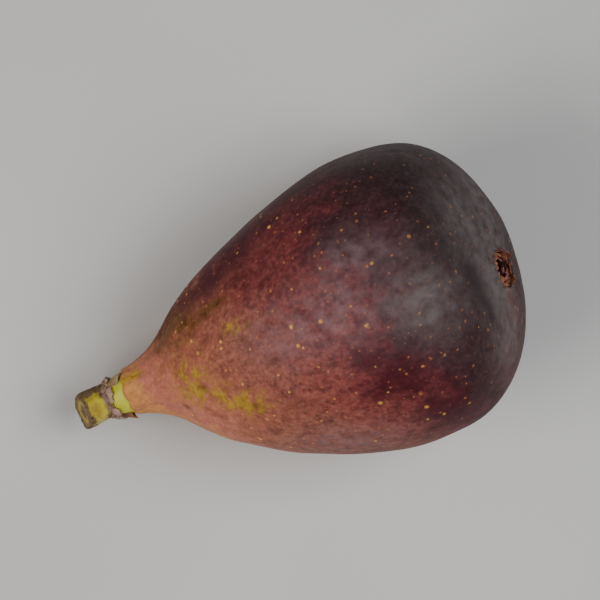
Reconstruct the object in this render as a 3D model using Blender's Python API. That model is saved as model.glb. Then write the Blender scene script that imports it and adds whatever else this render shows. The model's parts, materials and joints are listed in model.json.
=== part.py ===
"""A fresh dark fig with its cut stalk, lying on its side as a picked one does.

The fig is drawn along its own axis, in metres. Station 0 is the joint between the skin and the
stalk, stations grow towards the eye at the far end, and the stalk lies at negative stations.
An empty then tips the whole fig to the slope at which its weight stands over its resting spot.
Angles round the axis start at the left side, +Y, and pass over the top, +Z.
"""

import math

import bmesh
import bpy
from mathutils import Matrix, Vector

MM = 0.001
GOLDEN_ANGLE = math.radians(137.5)
SHARP_ANGLE = math.radians(45)
# Pieces that touch keep this much air between their meshes.
GAP = 0.3 * MM

# The fruit's outline from the stalk joint to its widest place: station, radius and slope there.
NECK_OUTLINE = (
    (0.0 * MM, 3.8 * MM, 0.16),
    (5.6 * MM, 5.9 * MM, 0.70),
    (10.8 * MM, 10.45 * MM, 0.87),
    (17.2 * MM, 14.6 * MM, 0.57),
    (29.2 * MM, 19.85 * MM, 0.345),
    (44.8 * MM, 23.05 * MM, 0.0),
)
WIDEST_STATION, WIDEST_RADIUS, _ = NECK_OUTLINE[-1]
FRUIT_LENGTH = 63.1 * MM
# The eye end is blunter than half an ellipse, whose power would be 2.
DOME_POWER = 2.75

# The net of faces on the skin.
SIDES = 72
NECK_RINGS = 22
DOME_RINGS = 11

# How far the skin leaves a plain turned shape.
WIDER_THAN_HIGH = 0.012
THREE_LOBED = 0.008
LOBE_TURN = math.radians(55)
# The faint ribs rise over the first fifth of the fruit and fade over its last sixth.
RIB_COUNT = 12
RIB_HEIGHT = 0.12 * MM
RIB_RISE = 1 / 5
RIB_FADE = 1 / 6
RIB_WANDER = 0.9
RIB_TWIST = 4.0
# The axis bows to one side, most of all early on, the neck's end is drawn to that side too, and
# the eye sits off the end of the axis.
BOW = -1.4 * MM
BOW_EARLINESS = 0.8
NECK_SHIFT = -0.3 * MM
NECK_SHIFT_REACH = 6.0 * MM
EYE_SHIFT = -3.1 * MM
# The eye end isn't square to the axis: it faces a little up, and a little to the side of the eye.
CAP_FACES_UP = math.radians(9)
CAP_FACES_ASIDE = math.radians(4)
# Shallow hollows where the soft fruit was pressed: station, angle, half-width, depth.
DENTS = (
    (54 * MM, math.radians(105), 6.5 * MM, 0.50 * MM),
    (31 * MM, math.radians(60), 8.5 * MM, 0.40 * MM),
    (41 * MM, math.radians(150), 7.5 * MM, 0.35 * MM),
    (47 * MM, math.radians(330), 8.0 * MM, 0.40 * MM),
    (24 * MM, math.radians(222), 6.5 * MM, 0.35 * MM),
)

# The eye is a small open pit with a low lip. Its outline runs from the lip down the wall and
# over the floor: radius, and height above the place where the lip leaves the skin.
EYE_LIP_RADIUS = 3.7 * MM
EYE_FLOOR_RADIUS = 2.9 * MM
EYE_DEPTH = 2.4 * MM
EYE_PIT = (
    (3.43 * MM, 0.22 * MM),
    (3.15 * MM, 0.09 * MM),
    (3.09 * MM, -0.84 * MM),
    (EYE_FLOOR_RADIUS, -2.16 * MM),
    (2.47 * MM, -EYE_DEPTH),
    (1.02 * MM, -EYE_DEPTH),
)

# The scales stand on a small washer at the bottom of the pit. Its outline, in order round its
# section: radius, and height above its underside.
SEAT_HOLE_RADIUS = 0.5 * MM
SEAT_RADIUS = EYE_FLOOR_RADIUS - GAP
SEAT_THICKNESS = 0.7 * MM
SEAT_CHAMFER_WIDTH = 0.5 * MM
SEAT_CHAMFER_HEIGHT = 0.35 * MM
SEAT_SIDES = 24
SEAT_OUTLINE = (
    (SEAT_HOLE_RADIUS, 0.0),
    (SEAT_RADIUS - SEAT_CHAMFER_WIDTH, 0.0),
    (SEAT_RADIUS, SEAT_CHAMFER_HEIGHT),
    (SEAT_RADIUS, SEAT_THICKNESS),
    (SEAT_HOLE_RADIUS, SEAT_THICKNESS),
)
# A scale's root starts this far up the washer, inside it.
SCALE_ROOT_HEIGHT = 0.8 * SEAT_THICKNESS
SCALE_THICKNESS = 0.6 * MM
# Each scale laps over the next like a shingle, and no two are quite the same length.
SCALE_LAP = math.radians(14)
SCALE_UNEVENNESS = 0.12
# Each whorl: how many, turn of the first, root radius, length, width, lean inwards.
SCALE_WHORLS = (
    (7, math.radians(10), 2.20 * MM, 1.95 * MM, 2.20 * MM, math.radians(17)),
    (5, math.radians(31), 1.35 * MM, 1.25 * MM, 1.60 * MM, math.radians(32)),
)

# A blade's outline from its sunk root to its blunt tip: share of its length, half-width as a
# share of its width. Its edges droop like a spoon's, and it thins towards the tip.
BLADE_OUTLINE = ((-0.18, 0.44), (0.1, 0.5), (0.5, 0.45), (0.82, 0.26), (1.0, 0.08))
BLADE_SPOON = 0.16
BLADE_THINNING = 0.35
# The corners of its section: side to side, and underside or upper side.
BLADE_SECTION = ((-1, -0.5), (0, -0.5), (1, -0.5), (1, 0.5), (0, 0.5), (-1, 0.5))

# The stalk's outline from its cut end to the skin: station and radius.
STALK_OUTLINE = (
    (-8.9 * MM, 2.68 * MM),
    (-8.65 * MM, 2.96 * MM),
    (-7.9 * MM, 3.00 * MM),
    (-6.4 * MM, 2.88 * MM),
    (-4.9 * MM, 2.80 * MM),
    (-3.9 * MM, 2.92 * MM),
    (-3.5 * MM, 3.30 * MM),
    (-2.9 * MM, 3.38 * MM),
    (-2.5 * MM, 3.12 * MM),
    (-1.5 * MM, 3.26 * MM),
    (-GAP, 3.60 * MM),
)
CUT_STATION = STALK_OUTLINE[0][0]
STALK_SIDES = 32
STALK_CORNERS = 5
STALK_CORNER_HEIGHT = 0.035
# The stub bends up and aside towards its cut end.
STALK_RISE = 0.5 * MM
STALK_ASIDE = -0.55 * MM
# It was cut aslant, so that the cut faces up a little. The slant dies out along the stub.
CUT_SLANT = math.radians(30)
SLANT_END = -4.4 * MM
# The cut end is dished, with a soft pith at its middle: radius, and depth below the cut's rim.
CUT_OUTLINE = (
    (0.38 * MM, 0.40 * MM),
    (0.68 * MM, 0.40 * MM),
    (0.98 * MM, 0.18 * MM),
    (2.25 * MM, 0.18 * MM),
)

# Dry bracts left on the collar: angle round the stalk, width, length, flare away from the stalk.
BRACT_STATION = -3.1 * MM
BRACT_ROOT_RADIUS = 3.05 * MM
BRACT_THICKNESS = 0.6 * MM
BRACTS = (
    (math.radians(38), 2.3 * MM, 2.3 * MM, math.radians(20)),
    (math.radians(194), 2.6 * MM, 2.6 * MM, math.radians(38)),
    (math.radians(286), 2.1 * MM, 1.9 * MM, math.radians(28)),
)

# How the fig lies: its slope, how far its skin gives, and how softly the flat spot's edge rounds.
SLOPE = math.radians(14.0)
SETTLE = 0.9 * MM
SETTLE_EDGE = 0.25 * MM

SKIN_COLOUR = (0.075, 0.020, 0.028, 1)
STALK_COLOUR = (0.36, 0.33, 0.06, 1)
SCALE_COLOUR = (0.26, 0.085, 0.035, 1)
SKIN_ROUGHNESS = 0.45
DRY_ROUGHNESS = 0.6


def clear_scene():
    for item in list(bpy.data.objects):
        bpy.data.objects.remove(item, do_unlink=True)


def finish_material(name, colour, roughness):
    material = bpy.data.materials.new(name)
    material.use_nodes = True
    shader = material.node_tree.nodes["Principled BSDF"]
    shader.inputs["Base Color"].default_value = colour
    shader.inputs["Roughness"].default_value = roughness
    shader.inputs["Metallic"].default_value = 0.0
    return material


def smooth_step(value):
    value = min(1.0, max(0.0, value))
    return value * value * (3 - 2 * value)


def hermite(x, start, end):
    """A cubic between two (place, value, slope) points, read at x."""
    x0, y0, m0 = start
    x1, y1, m1 = end
    width = x1 - x0
    t = (x - x0) / width
    return (
        (2 * t**3 - 3 * t**2 + 1) * y0
        + (t**3 - 2 * t**2 + t) * width * m0
        + (3 * t**2 - 2 * t**3) * y1
        + (t**3 - t**2) * width * m1
    )


def outline_radius(station):
    """Radius of the plain turned fruit at a station, from the joint to the eye."""
    if station >= WIDEST_STATION:
        share = (station - WIDEST_STATION) / (FRUIT_LENGTH - WIDEST_STATION)
        return WIDEST_RADIUS * max(0.0, 1 - share**DOME_POWER) ** (1 / DOME_POWER)
    for start, end in zip(NECK_OUTLINE, NECK_OUTLINE[1:]):
        if station <= end[0]:
            return hermite(station, start, end)
    return WIDEST_RADIUS


def dome_station(radius):
    """Station on the eye end where the turned fruit has this radius."""
    share = (1 - (radius / WIDEST_RADIUS) ** DOME_POWER) ** (1 / DOME_POWER)
    return WIDEST_STATION + share * (FRUIT_LENGTH - WIDEST_STATION)


def closing(station):
    """How far the eye end has closed in at a station: 0 at the widest place, 1 at the very end."""
    if station <= WIDEST_STATION:
        return 0.0
    return 1 - (outline_radius(station) / WIDEST_RADIUS) ** 2


def axis_centre(station):
    """Centre of the ring at a station, on the bowed axis and drawn aside towards the eye."""
    share = min(1.0, max(0.0, station / FRUIT_LENGTH))
    aside = BOW * math.sin(math.pi * share**BOW_EARLINESS)
    aside += NECK_SHIFT * (1 - smooth_step(station / NECK_SHIFT_REACH))
    aside += EYE_SHIFT * closing(station) ** 2
    return Vector((station, aside, 0))


def dent_depth(station, angle, radius):
    depth = 0.0
    for dent_station, dent_angle, half_width, deepest in DENTS:
        turn = (angle - dent_angle + math.pi) % (2 * math.pi) - math.pi
        away = math.hypot(station - dent_station, turn * radius) / half_width
        depth += deepest * math.exp(-away * away)
    return depth


def skin_radius(station, angle):
    """Radius with the fruit's uneven roundness, its faint ribs and its pressed places."""
    radius = outline_radius(station)
    uneven = 1 + WIDER_THAN_HIGH * math.cos(2 * angle) + THREE_LOBED * math.cos(3 * (angle - LOBE_TURN))
    share = station / FRUIT_LENGTH
    ribs = RIB_HEIGHT * smooth_step(share / RIB_RISE) * smooth_step((1 - share) / RIB_FADE)
    wander = RIB_WANDER * math.sin(angle + RIB_TWIST * share)
    return radius * uneven + ribs * math.cos(RIB_COUNT * angle + wander) - dent_depth(station, angle, radius)


def ring(centre, radius_at, sides):
    """Points round the axis at a centre, starting at +Y and passing over the top."""
    points = []
    for k in range(sides):
        angle = 2 * math.pi * k / sides
        radius = radius_at(angle)
        points.append(centre + Vector((0, radius * math.cos(angle), radius * math.sin(angle))))
    return points


def plain_ring(centre, rise, radius, sides):
    """A round ring at a rise along +X from a centre."""
    return ring(centre + Vector((rise, 0, 0)), lambda angle: radius, sides)


def leaning(point, centre, share):
    """A point of the eye end, moved along the axis as its ring leans by a share of the whole lean."""
    up = math.tan(CAP_FACES_UP) * (point.z - centre.z)
    aside = math.tan(CAP_FACES_ASIDE) * (point.y - centre.y)
    return point + Vector((share * (aside - up), 0, 0))


def loft(name, rings, round_trip=False, place=None):
    """A closed mesh through rings of points.

    The first and last ring are filled, or joined to each other where the rings make a round trip.
    """
    shape = bmesh.new()
    loops = [[shape.verts.new(point) for point in points] for points in rings]
    following_loops = loops[1:]
    if round_trip:
        following_loops = loops[1:] + loops[:1]
    else:
        shape.faces.new(loops[0])
        shape.faces.new(list(reversed(loops[-1])))
    for before, after in zip(loops, following_loops):
        for k in range(len(before)):
            following = (k + 1) % len(before)
            shape.faces.new((before[k], after[k], after[following], before[following]))
    bmesh.ops.recalc_face_normals(shape, faces=shape.faces)
    if place:
        bmesh.ops.transform(shape, matrix=place, verts=shape.verts)
    mesh = bpy.data.meshes.new(name)
    shape.to_mesh(mesh)
    shape.free()
    return mesh


def height(point, lift):
    """Height of a point of the tipped fig above what it lies on."""
    return point.x * math.sin(SLOPE) + point.z * math.cos(SLOPE) + lift


def settled(point, lift):
    """A point of the skin after the fruit's weight has pressed its lowest spot flat."""
    before = height(point, lift)
    if before >= SETTLE_EDGE:
        return point
    after = 0.0
    if before > -SETTLE_EDGE:
        after = (before + SETTLE_EDGE) ** 2 / (4 * SETTLE_EDGE)
    up = Vector((math.sin(SLOPE), 0, math.cos(SLOPE)))
    return point + up * (after - before)


def eye_lip():
    """The middle of the eye's lip, and the share of the lean there."""
    station = dome_station(EYE_LIP_RADIUS)
    return axis_centre(station), closing(station)


def fruit_rings():
    """Rings from the stalk joint over the body to the eye, and down into its pit."""
    stations = [WIDEST_STATION * k / NECK_RINGS for k in range(NECK_RINGS)]
    turn_to_lip = math.acos(EYE_LIP_RADIUS / WIDEST_RADIUS)
    for k in range(DOME_RINGS + 1):
        stations.append(dome_station(WIDEST_RADIUS * math.cos(turn_to_lip * k / DOME_RINGS)))
    rings = []
    for station in stations:
        centre = axis_centre(station)
        points = ring(centre, lambda angle: skin_radius(station, angle), SIDES)
        rings.append([leaning(point, centre, closing(station)) for point in points])
    lip, lip_share = eye_lip()
    for radius, rise in EYE_PIT:
        points = plain_ring(lip, rise, radius, SIDES)
        rings.append([leaning(point, lip, lip_share) for point in points])
    return rings


def added(name, mesh):
    item = bpy.data.objects.new(name, mesh)
    bpy.context.scene.collection.objects.link(item)
    return item


def dressed(item, material, parent):
    """The finished piece: its one material, smooth faces with sharp corners, and its parent."""
    item.data.materials.clear()
    item.data.materials.append(material)
    item.data.shade_smooth()
    item.data.set_sharp_from_angle(angle=SHARP_ANGLE)
    item.parent = parent
    return item


def blade(name, width, length, thickness, place):
    """A small pointed scale: rounded root at the origin, tip along +X, curved like a shallow spoon."""
    rings = []
    for along, half in BLADE_OUTLINE:
        droop = BLADE_SPOON * width * (1 - along * along)
        thick = thickness * (1 - BLADE_THINNING * max(0.0, along))
        rings.append([
            Vector((along * length, across * half * width, side * thick - droop * across * across))
            for across, side in BLADE_SECTION
        ])
    return bpy.data.objects.new(name, loft(name, rings, place=place))


def join_on(base, blades):
    """Joins small blades to a base by one Boolean union, and removes them."""
    group = bpy.data.collections.new(base.name + "_blades")
    bpy.context.scene.collection.children.link(group)
    for item in blades:
        group.objects.link(item)
    union = base.modifiers.new("join", "BOOLEAN")
    union.operation = "UNION"
    union.operand_type = "COLLECTION"
    union.collection = group
    bpy.context.view_layer.update()
    evaluated = base.evaluated_get(bpy.context.evaluated_depsgraph_get())
    mesh = bpy.data.meshes.new_from_object(evaluated)
    base.modifiers.clear()
    base.data = mesh
    for item in blades:
        bpy.data.objects.remove(item, do_unlink=True)
    bpy.data.collections.remove(group)


def outward(angle):
    """The direction straight out from the axis at an angle round it."""
    return Vector((0, math.cos(angle), math.sin(angle)))


def blade_place(root, angle, flare):
    """A frame at a root: X runs along the axis and turns outwards by the flare, Z faces outwards."""
    out = outward(angle)
    axis = Vector((1, 0, 0))
    along = axis * math.cos(flare) + out * math.sin(flare)
    up = out * math.cos(flare) - axis * math.sin(flare)
    frame = Matrix((along, up.cross(along), up)).transposed().to_4x4()
    frame.translation = root
    return frame


def build_fruit(rings, lift, parent):
    pressed = [[settled(point, lift) for point in points] for points in rings]
    skin = finish_material("fig_skin", SKIN_COLOUR, SKIN_ROUGHNESS)
    return dressed(added("fruit", loft("fruit", pressed)), skin, parent)


def build_eye_scales(parent):
    """Two whorls of pointed scales on a washer at the bottom of the pit."""
    lip, lip_share = eye_lip()
    centre = lip + Vector((GAP - EYE_DEPTH, 0, 0))
    rings = [plain_ring(centre, rise, radius, SEAT_SIDES) for radius, rise in SEAT_OUTLINE]
    scales = added("eye_scales", loft("eye_scales", rings, round_trip=True))
    seat_top = centre + Vector((SCALE_ROOT_HEIGHT, 0, 0))
    blades = []
    for count, first, root_radius, length, width, lean in SCALE_WHORLS:
        for k in range(count):
            angle = first + 2 * math.pi * k / count
            size = 1 + SCALE_UNEVENNESS * math.sin(GOLDEN_ANGLE * k)
            root = seat_top + root_radius * outward(angle)
            place = blade_place(root, angle, -lean) @ Matrix.Rotation(SCALE_LAP, 4, "X")
            blades.append(blade("scale", width * size, length * size, SCALE_THICKNESS, place))
    join_on(scales, blades)
    for vertex in scales.data.vertices:
        vertex.co = leaning(vertex.co, lip, lip_share)
    return dressed(scales, finish_material("eye_scale", SCALE_COLOUR, DRY_ROUGHNESS), parent)


def stalk_radius(radius, angle):
    return radius * (1 + STALK_CORNER_HEIGHT * math.cos(STALK_CORNERS * angle))


def stalk_centre(station):
    """The stub starts at the neck's end and bends up and aside towards its cut end."""
    share = station / CUT_STATION
    return axis_centre(0) + Vector((station, STALK_ASIDE * share * share, STALK_RISE * share * share))


def stalk_slant(station):
    """How much a ring of the stalk slants: as the cut does at the cut end, and less towards the collar."""
    share = (SLANT_END - station) / (SLANT_END - CUT_STATION)
    return math.tan(CUT_SLANT) * min(1.0, max(0.0, share))


def stalk_ring(station, radius, slant):
    centre = stalk_centre(station)
    points = ring(centre, lambda angle: stalk_radius(radius, angle), STALK_SIDES)
    return [point + Vector((slant * (point.z - centre.z), 0, 0)) for point in points]


def build_stalk(parent):
    """The short woody stub with its collar and three dry bracts, and a dished, pithy cut end."""
    cut_slant = stalk_slant(CUT_STATION)
    rings = [stalk_ring(CUT_STATION + depth, radius, cut_slant) for radius, depth in CUT_OUTLINE]
    rings.extend(stalk_ring(station, radius, stalk_slant(station)) for station, radius in STALK_OUTLINE)
    stalk = added("stalk", loft("stalk", rings))
    blades = []
    for angle, width, length, flare in BRACTS:
        root = stalk_centre(BRACT_STATION) + BRACT_ROOT_RADIUS * outward(angle)
        blades.append(blade("bract", width, length, BRACT_THICKNESS, blade_place(root, angle, flare)))
    join_on(stalk, blades)
    return dressed(stalk, finish_material("stalk", STALK_COLOUR, DRY_ROUGHNESS), parent)


def box_centre(items):
    """Middle of the box round some objects' points, seen from above, in the scene's frame."""
    bpy.context.view_layer.update()
    points = [item.matrix_world @ vertex.co for item in items for vertex in item.data.vertices]
    xs = [point.x for point in points]
    ys = [point.y for point in points]
    return Vector(((min(xs) + max(xs)) / 2, (min(ys) + max(ys)) / 2, 0))


def main():
    clear_scene()
    rings = fruit_rings()
    lowest = min(height(point, 0.0) for points in rings for point in points)
    lift = -lowest - SETTLE
    fig = added("fig", None)
    fig.rotation_euler = (0, -SLOPE, 0)
    fig.location = (0, 0, lift)
    pieces = [build_fruit(rings, lift, fig), build_eye_scales(fig), build_stalk(fig)]
    fig.location -= box_centre(pieces)
    print("joint of skin and stalk at", [round(value, 6) for value in fig.location])


main()
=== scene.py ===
# %% [markdown]
# A fresh dark fig lies on its side: a soft pear-shaped fruit in a thin waxy skin, with the open eye
# at its blunt end and the cut stub of its stalk at the other. The solids of the part are loaded
# first and never change. Every piece made below is a finer dress for one of them, in metres.

# %% Load the part
import json
import math

import bpy
import numpy as np
from mathutils import Matrix, Vector, noise

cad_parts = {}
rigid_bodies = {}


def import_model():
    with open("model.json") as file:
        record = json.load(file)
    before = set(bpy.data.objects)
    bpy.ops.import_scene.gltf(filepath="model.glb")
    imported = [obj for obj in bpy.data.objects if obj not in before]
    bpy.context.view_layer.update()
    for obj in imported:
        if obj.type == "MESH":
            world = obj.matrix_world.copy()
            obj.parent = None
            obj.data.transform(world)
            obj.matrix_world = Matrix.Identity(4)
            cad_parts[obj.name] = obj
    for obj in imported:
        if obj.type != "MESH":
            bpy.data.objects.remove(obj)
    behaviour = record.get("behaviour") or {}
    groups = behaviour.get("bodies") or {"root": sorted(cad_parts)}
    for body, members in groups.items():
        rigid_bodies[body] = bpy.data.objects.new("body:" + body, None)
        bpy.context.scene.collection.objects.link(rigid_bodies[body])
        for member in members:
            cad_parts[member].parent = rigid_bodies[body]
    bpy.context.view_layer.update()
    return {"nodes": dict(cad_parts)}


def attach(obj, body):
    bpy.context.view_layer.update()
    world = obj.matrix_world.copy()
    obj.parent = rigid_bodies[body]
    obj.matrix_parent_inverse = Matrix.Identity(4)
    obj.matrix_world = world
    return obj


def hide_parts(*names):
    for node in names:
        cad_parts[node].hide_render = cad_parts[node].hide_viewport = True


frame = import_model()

MM = 0.001

# %% [markdown]
# A fig grows along an axis, and nearly everything on it follows that axis: the rings of its outline,
# the streaks that run from stalk to eye, the scales round the eye. So the pieces are drawn in the
# fig's own frame, where X runs along the axis and zero is the joint between skin and stalk, and are
# turned into place at the end. The fig lies with its eye end 14 degrees up, and the joint is found
# on the part: it is the middle of the flat disc where the neck of the fruit ends.

# %% The fig's own frame
SLOPE = math.radians(14)
FIG_AXES = np.array((
    (math.cos(SLOPE), 0.0, math.sin(SLOPE)),
    (0.0, 1.0, 0.0),
    (-math.sin(SLOPE), 0.0, math.cos(SLOPE)),
))


def points_of(item):
    points = np.empty(len(item.data.vertices) * 3)
    item.data.vertices.foreach_get("co", points)
    return points.reshape(-1, 3)


def middle(points):
    return (points.min(0) + points.max(0)) / 2


DISC_TOLERANCE = 0.01 * MM
turned = points_of(frame["nodes"]["fruit"]) @ FIG_AXES.T
neck_disc = turned[turned[:, 0] < turned[:, 0].min() + DISC_TOLERANCE]
JOINT = FIG_AXES.T @ middle(neck_disc)
FIG = Matrix(FIG_AXES.T).to_4x4()
FIG.translation = Vector(JOINT)


def in_fig(points):
    """Points of the part seen in the fig's own frame."""
    return (points - JOINT) @ FIG_AXES.T


fruit_points = in_fig(points_of(frame["nodes"]["fruit"]))
seat_points = in_fig(points_of(frame["nodes"]["eye_scales"]))
FRUIT_LENGTH = fruit_points[:, 0].max()
disc_points = fruit_points[fruit_points[:, 0] < DISC_TOLERANCE]
SKIN_EDGE_RADIUS = np.hypot(disc_points[:, 1], disc_points[:, 2]).max()
_, EYE_SIDE, EYE_UP = middle(seat_points)
print("joint at", [round(value / MM, 2) for value in JOINT], "fruit", round(FRUIT_LENGTH / MM, 1), "long")

# %% [markdown]
# The eye end isn't square to the axis: it faces a little up and a little to one side. What belongs to
# the eye is drawn square to the axis, which is simple, and is then leant over as a whole.

# %% The lean of the eye end
EYE_FACES_UP = math.radians(9)
EYE_FACES_ASIDE = math.radians(4)
EYE_DEPTH = 2.1 * MM


def eye_lean(points):
    """How far the lean moves points near the eye along the axis."""
    aside = math.tan(EYE_FACES_ASIDE) * (points[:, 1] - EYE_SIDE)
    return aside - math.tan(EYE_FACES_UP) * (points[:, 2] - EYE_UP)


EYE_FLOOR = (seat_points[:, 0] - eye_lean(seat_points)).min()
EYE_LIP = EYE_FLOOR + EYE_DEPTH
print("eye centre", round(EYE_SIDE / MM, 2), round(EYE_UP / MM, 2), "floor at", round(EYE_FLOOR / MM, 2))

# %% [markdown]
# Modelling tools act on whatever is selected, so each step starts by clearing the selection and
# naming the one object that it works on. These few helpers do that, enter and leave edit mode, make
# modifiers real, and turn a finished piece from the fig's frame into its place. The rest shape things
# point by point: smooth steps, humps and noise, and soft round patches that have a place of their own.


# %% Helpers for modelling
def alone(item):
    for other in bpy.context.scene.objects:
        other.select_set(False)
    item.select_set(True)
    bpy.context.view_layer.objects.active = item


def edit_all(item):
    """Enters edit mode with the whole piece selected."""
    alone(item)
    bpy.ops.object.mode_set(mode="EDIT")
    bpy.ops.mesh.select_all(action="SELECT")


def leave_edit():
    bpy.ops.object.mode_set(mode="OBJECT")


def edit_points(item, chosen):
    """Enters edit mode with only these points selected. Left-over edges and faces would add theirs."""
    for elements in (item.data.edges, item.data.polygons):
        for element in elements:
            element.select = False
    for vertex, wanted in zip(item.data.vertices, chosen):
        vertex.select = bool(wanted)
    bpy.ops.object.mode_set(mode="EDIT")


def modify(item, kind, **settings):
    """Adds a modifier and makes it real at once."""
    modifier = item.modifiers.new(kind.lower(), kind)
    for name, value in settings.items():
        setattr(modifier, name, value)
    alone(item)
    bpy.ops.object.modifier_apply(modifier=modifier.name)


def settle(item):
    """Turns a piece drawn in the fig's frame into place and leaves its object at the origin."""
    alone(item)
    bpy.ops.object.transform_apply(location=True, rotation=True, scale=True)
    item.data.transform(FIG)
    item.data.update()
    bpy.ops.object.shade_smooth()


def store(item, name, values, kind="FLOAT"):
    """Keeps a value or a vector for every point of a piece, for its finish to read."""
    attribute = item.data.attributes.new(name, kind, "POINT")
    field = "vector" if kind == "FLOAT_VECTOR" else "value"
    attribute.data.foreach_set(field, np.asarray(values, np.float32).ravel())


def ease(value, start, end):
    """Rises smoothly from 0 at start to 1 at end."""
    share = np.clip((value - start) / (end - start), 0, 1)
    return share * share * (3 - 2 * share)


def noise_at(points, size, shift=0.0):
    """Smooth noise between about -1 and 1, with bumps of the given size. Each shift gives another."""
    return np.array([noise.noise(Vector(point) / size + Vector((shift, shift, shift))) for point in points])


def hump(value):
    """1 at zero, falling smoothly to 0 on both sides."""
    return np.exp(-(value**2))


def gap_round(angle, direction):
    """How far apart two directions round an axis are."""
    return np.abs((angle - direction + math.pi) % (2 * math.pi) - math.pi)


def stained(stations, angles, radii, patches):
    """How strongly each point lies in one of the soft round patches, from 0 to 1.

    Each patch: station in mm, angle from +Y over the top in degrees, half-length along the axis and
    half-width round it in mm.
    """
    stain = np.zeros(len(stations))
    for patch_station, direction, long, wide in patches:
        along = (stations - patch_station * MM) / (long * MM)
        across = gap_round(angles, math.radians(direction)) * radii / (wide * MM)
        stain = np.maximum(stain, hump(np.hypot(along, across)))
    return stain


def normals_of(item):
    normals = np.empty(len(item.data.vertices) * 3, np.float32)
    item.data.vertices.foreach_get("normal", normals)
    return normals.reshape(-1, 3)


def put_points(item, points):
    item.data.vertices.foreach_set("co", np.asarray(points, np.float32).ravel())
    item.data.update()


# %% [markdown]
# The skin is the whole outside of the fruit. It could be lofted afresh, but the solid already has the
# true outline, the pressed places and the flat spot that the fig rests on, so the skin starts from a
# copy of it. Its loose triangles are merged and paired back into four-sided faces, which subdivide
# evenly. The edge round the stalk is creased first, or the subdivision would round it away.

# %% The skin: a finer copy of the fruit
SAME_POINT = 0.002 * MM
PAIR_WITHIN = math.radians(70)
skin = bpy.data.objects.new("skin", frame["nodes"]["fruit"].data.copy())
skin.data.materials.clear()
bpy.context.scene.collection.objects.link(skin)
edit_all(skin)
bpy.ops.mesh.customdata_custom_splitnormals_clear()
bpy.ops.mesh.remove_doubles(threshold=SAME_POINT)
bpy.ops.mesh.tris_convert_to_quads(face_threshold=PAIR_WITHIN, shape_threshold=PAIR_WITHIN)
leave_edit()

# %% A crease round the stalk
EDGE_TOLERANCE = 0.05 * MM
NEAR_THE_RIM = 0.9 * SKIN_EDGE_RADIUS
places = in_fig(points_of(skin))
on_edge = (places[:, 0] < EDGE_TOLERANCE) & (np.hypot(places[:, 1], places[:, 2]) > NEAR_THE_RIM)
for line in skin.data.edges:
    line.select = all(on_edge[k] for k in line.vertices)
alone(skin)
bpy.ops.object.mode_set(mode="EDIT")
bpy.ops.mesh.select_mode(type="EDGE")
bpy.ops.transform.edge_crease(value=1.0)
bpy.ops.mesh.select_mode(type="VERT")
leave_edit()
modify(skin, "SUBSURF", levels=2, render_levels=2)
print("skin:", len(skin.data.vertices), "points")

# %% [markdown]
# Each point of the skin now gets its place on the fruit: how far along the axis it lies, and in
# which direction round it. The axis used here is the straight line from the stalk joint to the
# middle of the eye, so that streaks drawn with these values run together at both ends.


# %% Where each point of the skin lies
def round_the_axis(places):
    """Station, distance from the axis, and the cosine and sine of the direction, from +Y over the top."""
    share = places[:, 0] / EYE_FLOOR
    side = places[:, 1] - share * EYE_SIDE
    up = places[:, 2] - share * EYE_UP
    away = np.maximum(np.hypot(side, up), SAME_POINT)
    return places[:, 0], away, side / away, up / away


EYE_END = (0.8 * FRUIT_LENGTH, 0.9 * FRUIT_LENGTH)
places = in_fig(points_of(skin))
station, away, side, up = round_the_axis(places)
angle = np.arctan2(up, side)
from_eye = np.hypot(places[:, 1] - EYE_SIDE, places[:, 2] - EYE_UP)
near_eye = ease(station, *EYE_END)
print("skin runs from", round(station.min() / MM, 2), "to", round(station.max() / MM, 2), "mm")

# %% [markdown]
# The facets of the solid still show as faint corners in the outline. A smooth modifier evens them
# out. A vertex group says where it may: not at the edge by the stalk, the eye or the resting spot.

# %% Even out the facets
EVENING_STEPS = 24
EVENING_FACTOR = 0.5
# Between these two distances from the stalk, the floor and the eye, the smoothing fades in.
CLEAR_OF_STALK = (1 * MM, 5 * MM)
CLEAR_OF_FLOOR = (0.4 * MM, 3 * MM)
CLEAR_OF_EYE = (5 * MM, 9 * MM)
evened = ease(station, *CLEAR_OF_STALK) * ease(points_of(skin)[:, 2], *CLEAR_OF_FLOOR)
evened *= 1 - near_eye * (1 - ease(from_eye, *CLEAR_OF_EYE))
group = skin.vertex_groups.new(name="evened")
for k, share in enumerate(evened):
    group.add([k], float(share), "REPLACE")
before = points_of(skin)
modify(skin, "SMOOTH", factor=EVENING_FACTOR, iterations=EVENING_STEPS, vertex_group=group.name)
skin.vertex_groups.clear()
print("evened out by at most", round(np.linalg.norm(points_of(skin) - before, axis=1).max() / MM, 2), "mm")

# %% [markdown]
# The surface of a ripe fig is never quite even. Soft broad swells come from the flesh below, short
# folds run along the neck, the lip of the eye is puckered and ragged, and a few small dimples mark
# the skin. All of it is real shape, moved point by point along the normals, because a shape that
# is only painted on looks flat at the edge of the fruit. The resting spot stays flat.

# %% Sizes of the relief
SWELL_SIZE = 9 * MM
SWELL_HEIGHT = 0.22 * MM
RIPPLE_SIZE = 2.6 * MM
RIPPLE_HEIGHT = 0.05 * MM
RIPPLE_DRAWN_OUT = 2.5
# Folds of the neck and puckers of the eye are waves round the axis whose crests sway.
NECK_FOLDS = 15
NECK_FOLD_SWAY = 2.2
NECK_FOLD_SWAY_SIZE = 7 * MM
NECK_FOLD_HEIGHT = 0.07 * MM
NECK_FOLDS_START = (0, 3 * MM)
NECK_FOLDS_END = (9 * MM, 17 * MM)
PUCKERS = 19
PUCKER_SWAY = 2.0
PUCKER_SWAY_SIZE = 3 * MM
PUCKER_HEIGHT = 0.09 * MM
PUCKERS_END = (4.2 * MM, 8 * MM)
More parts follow.
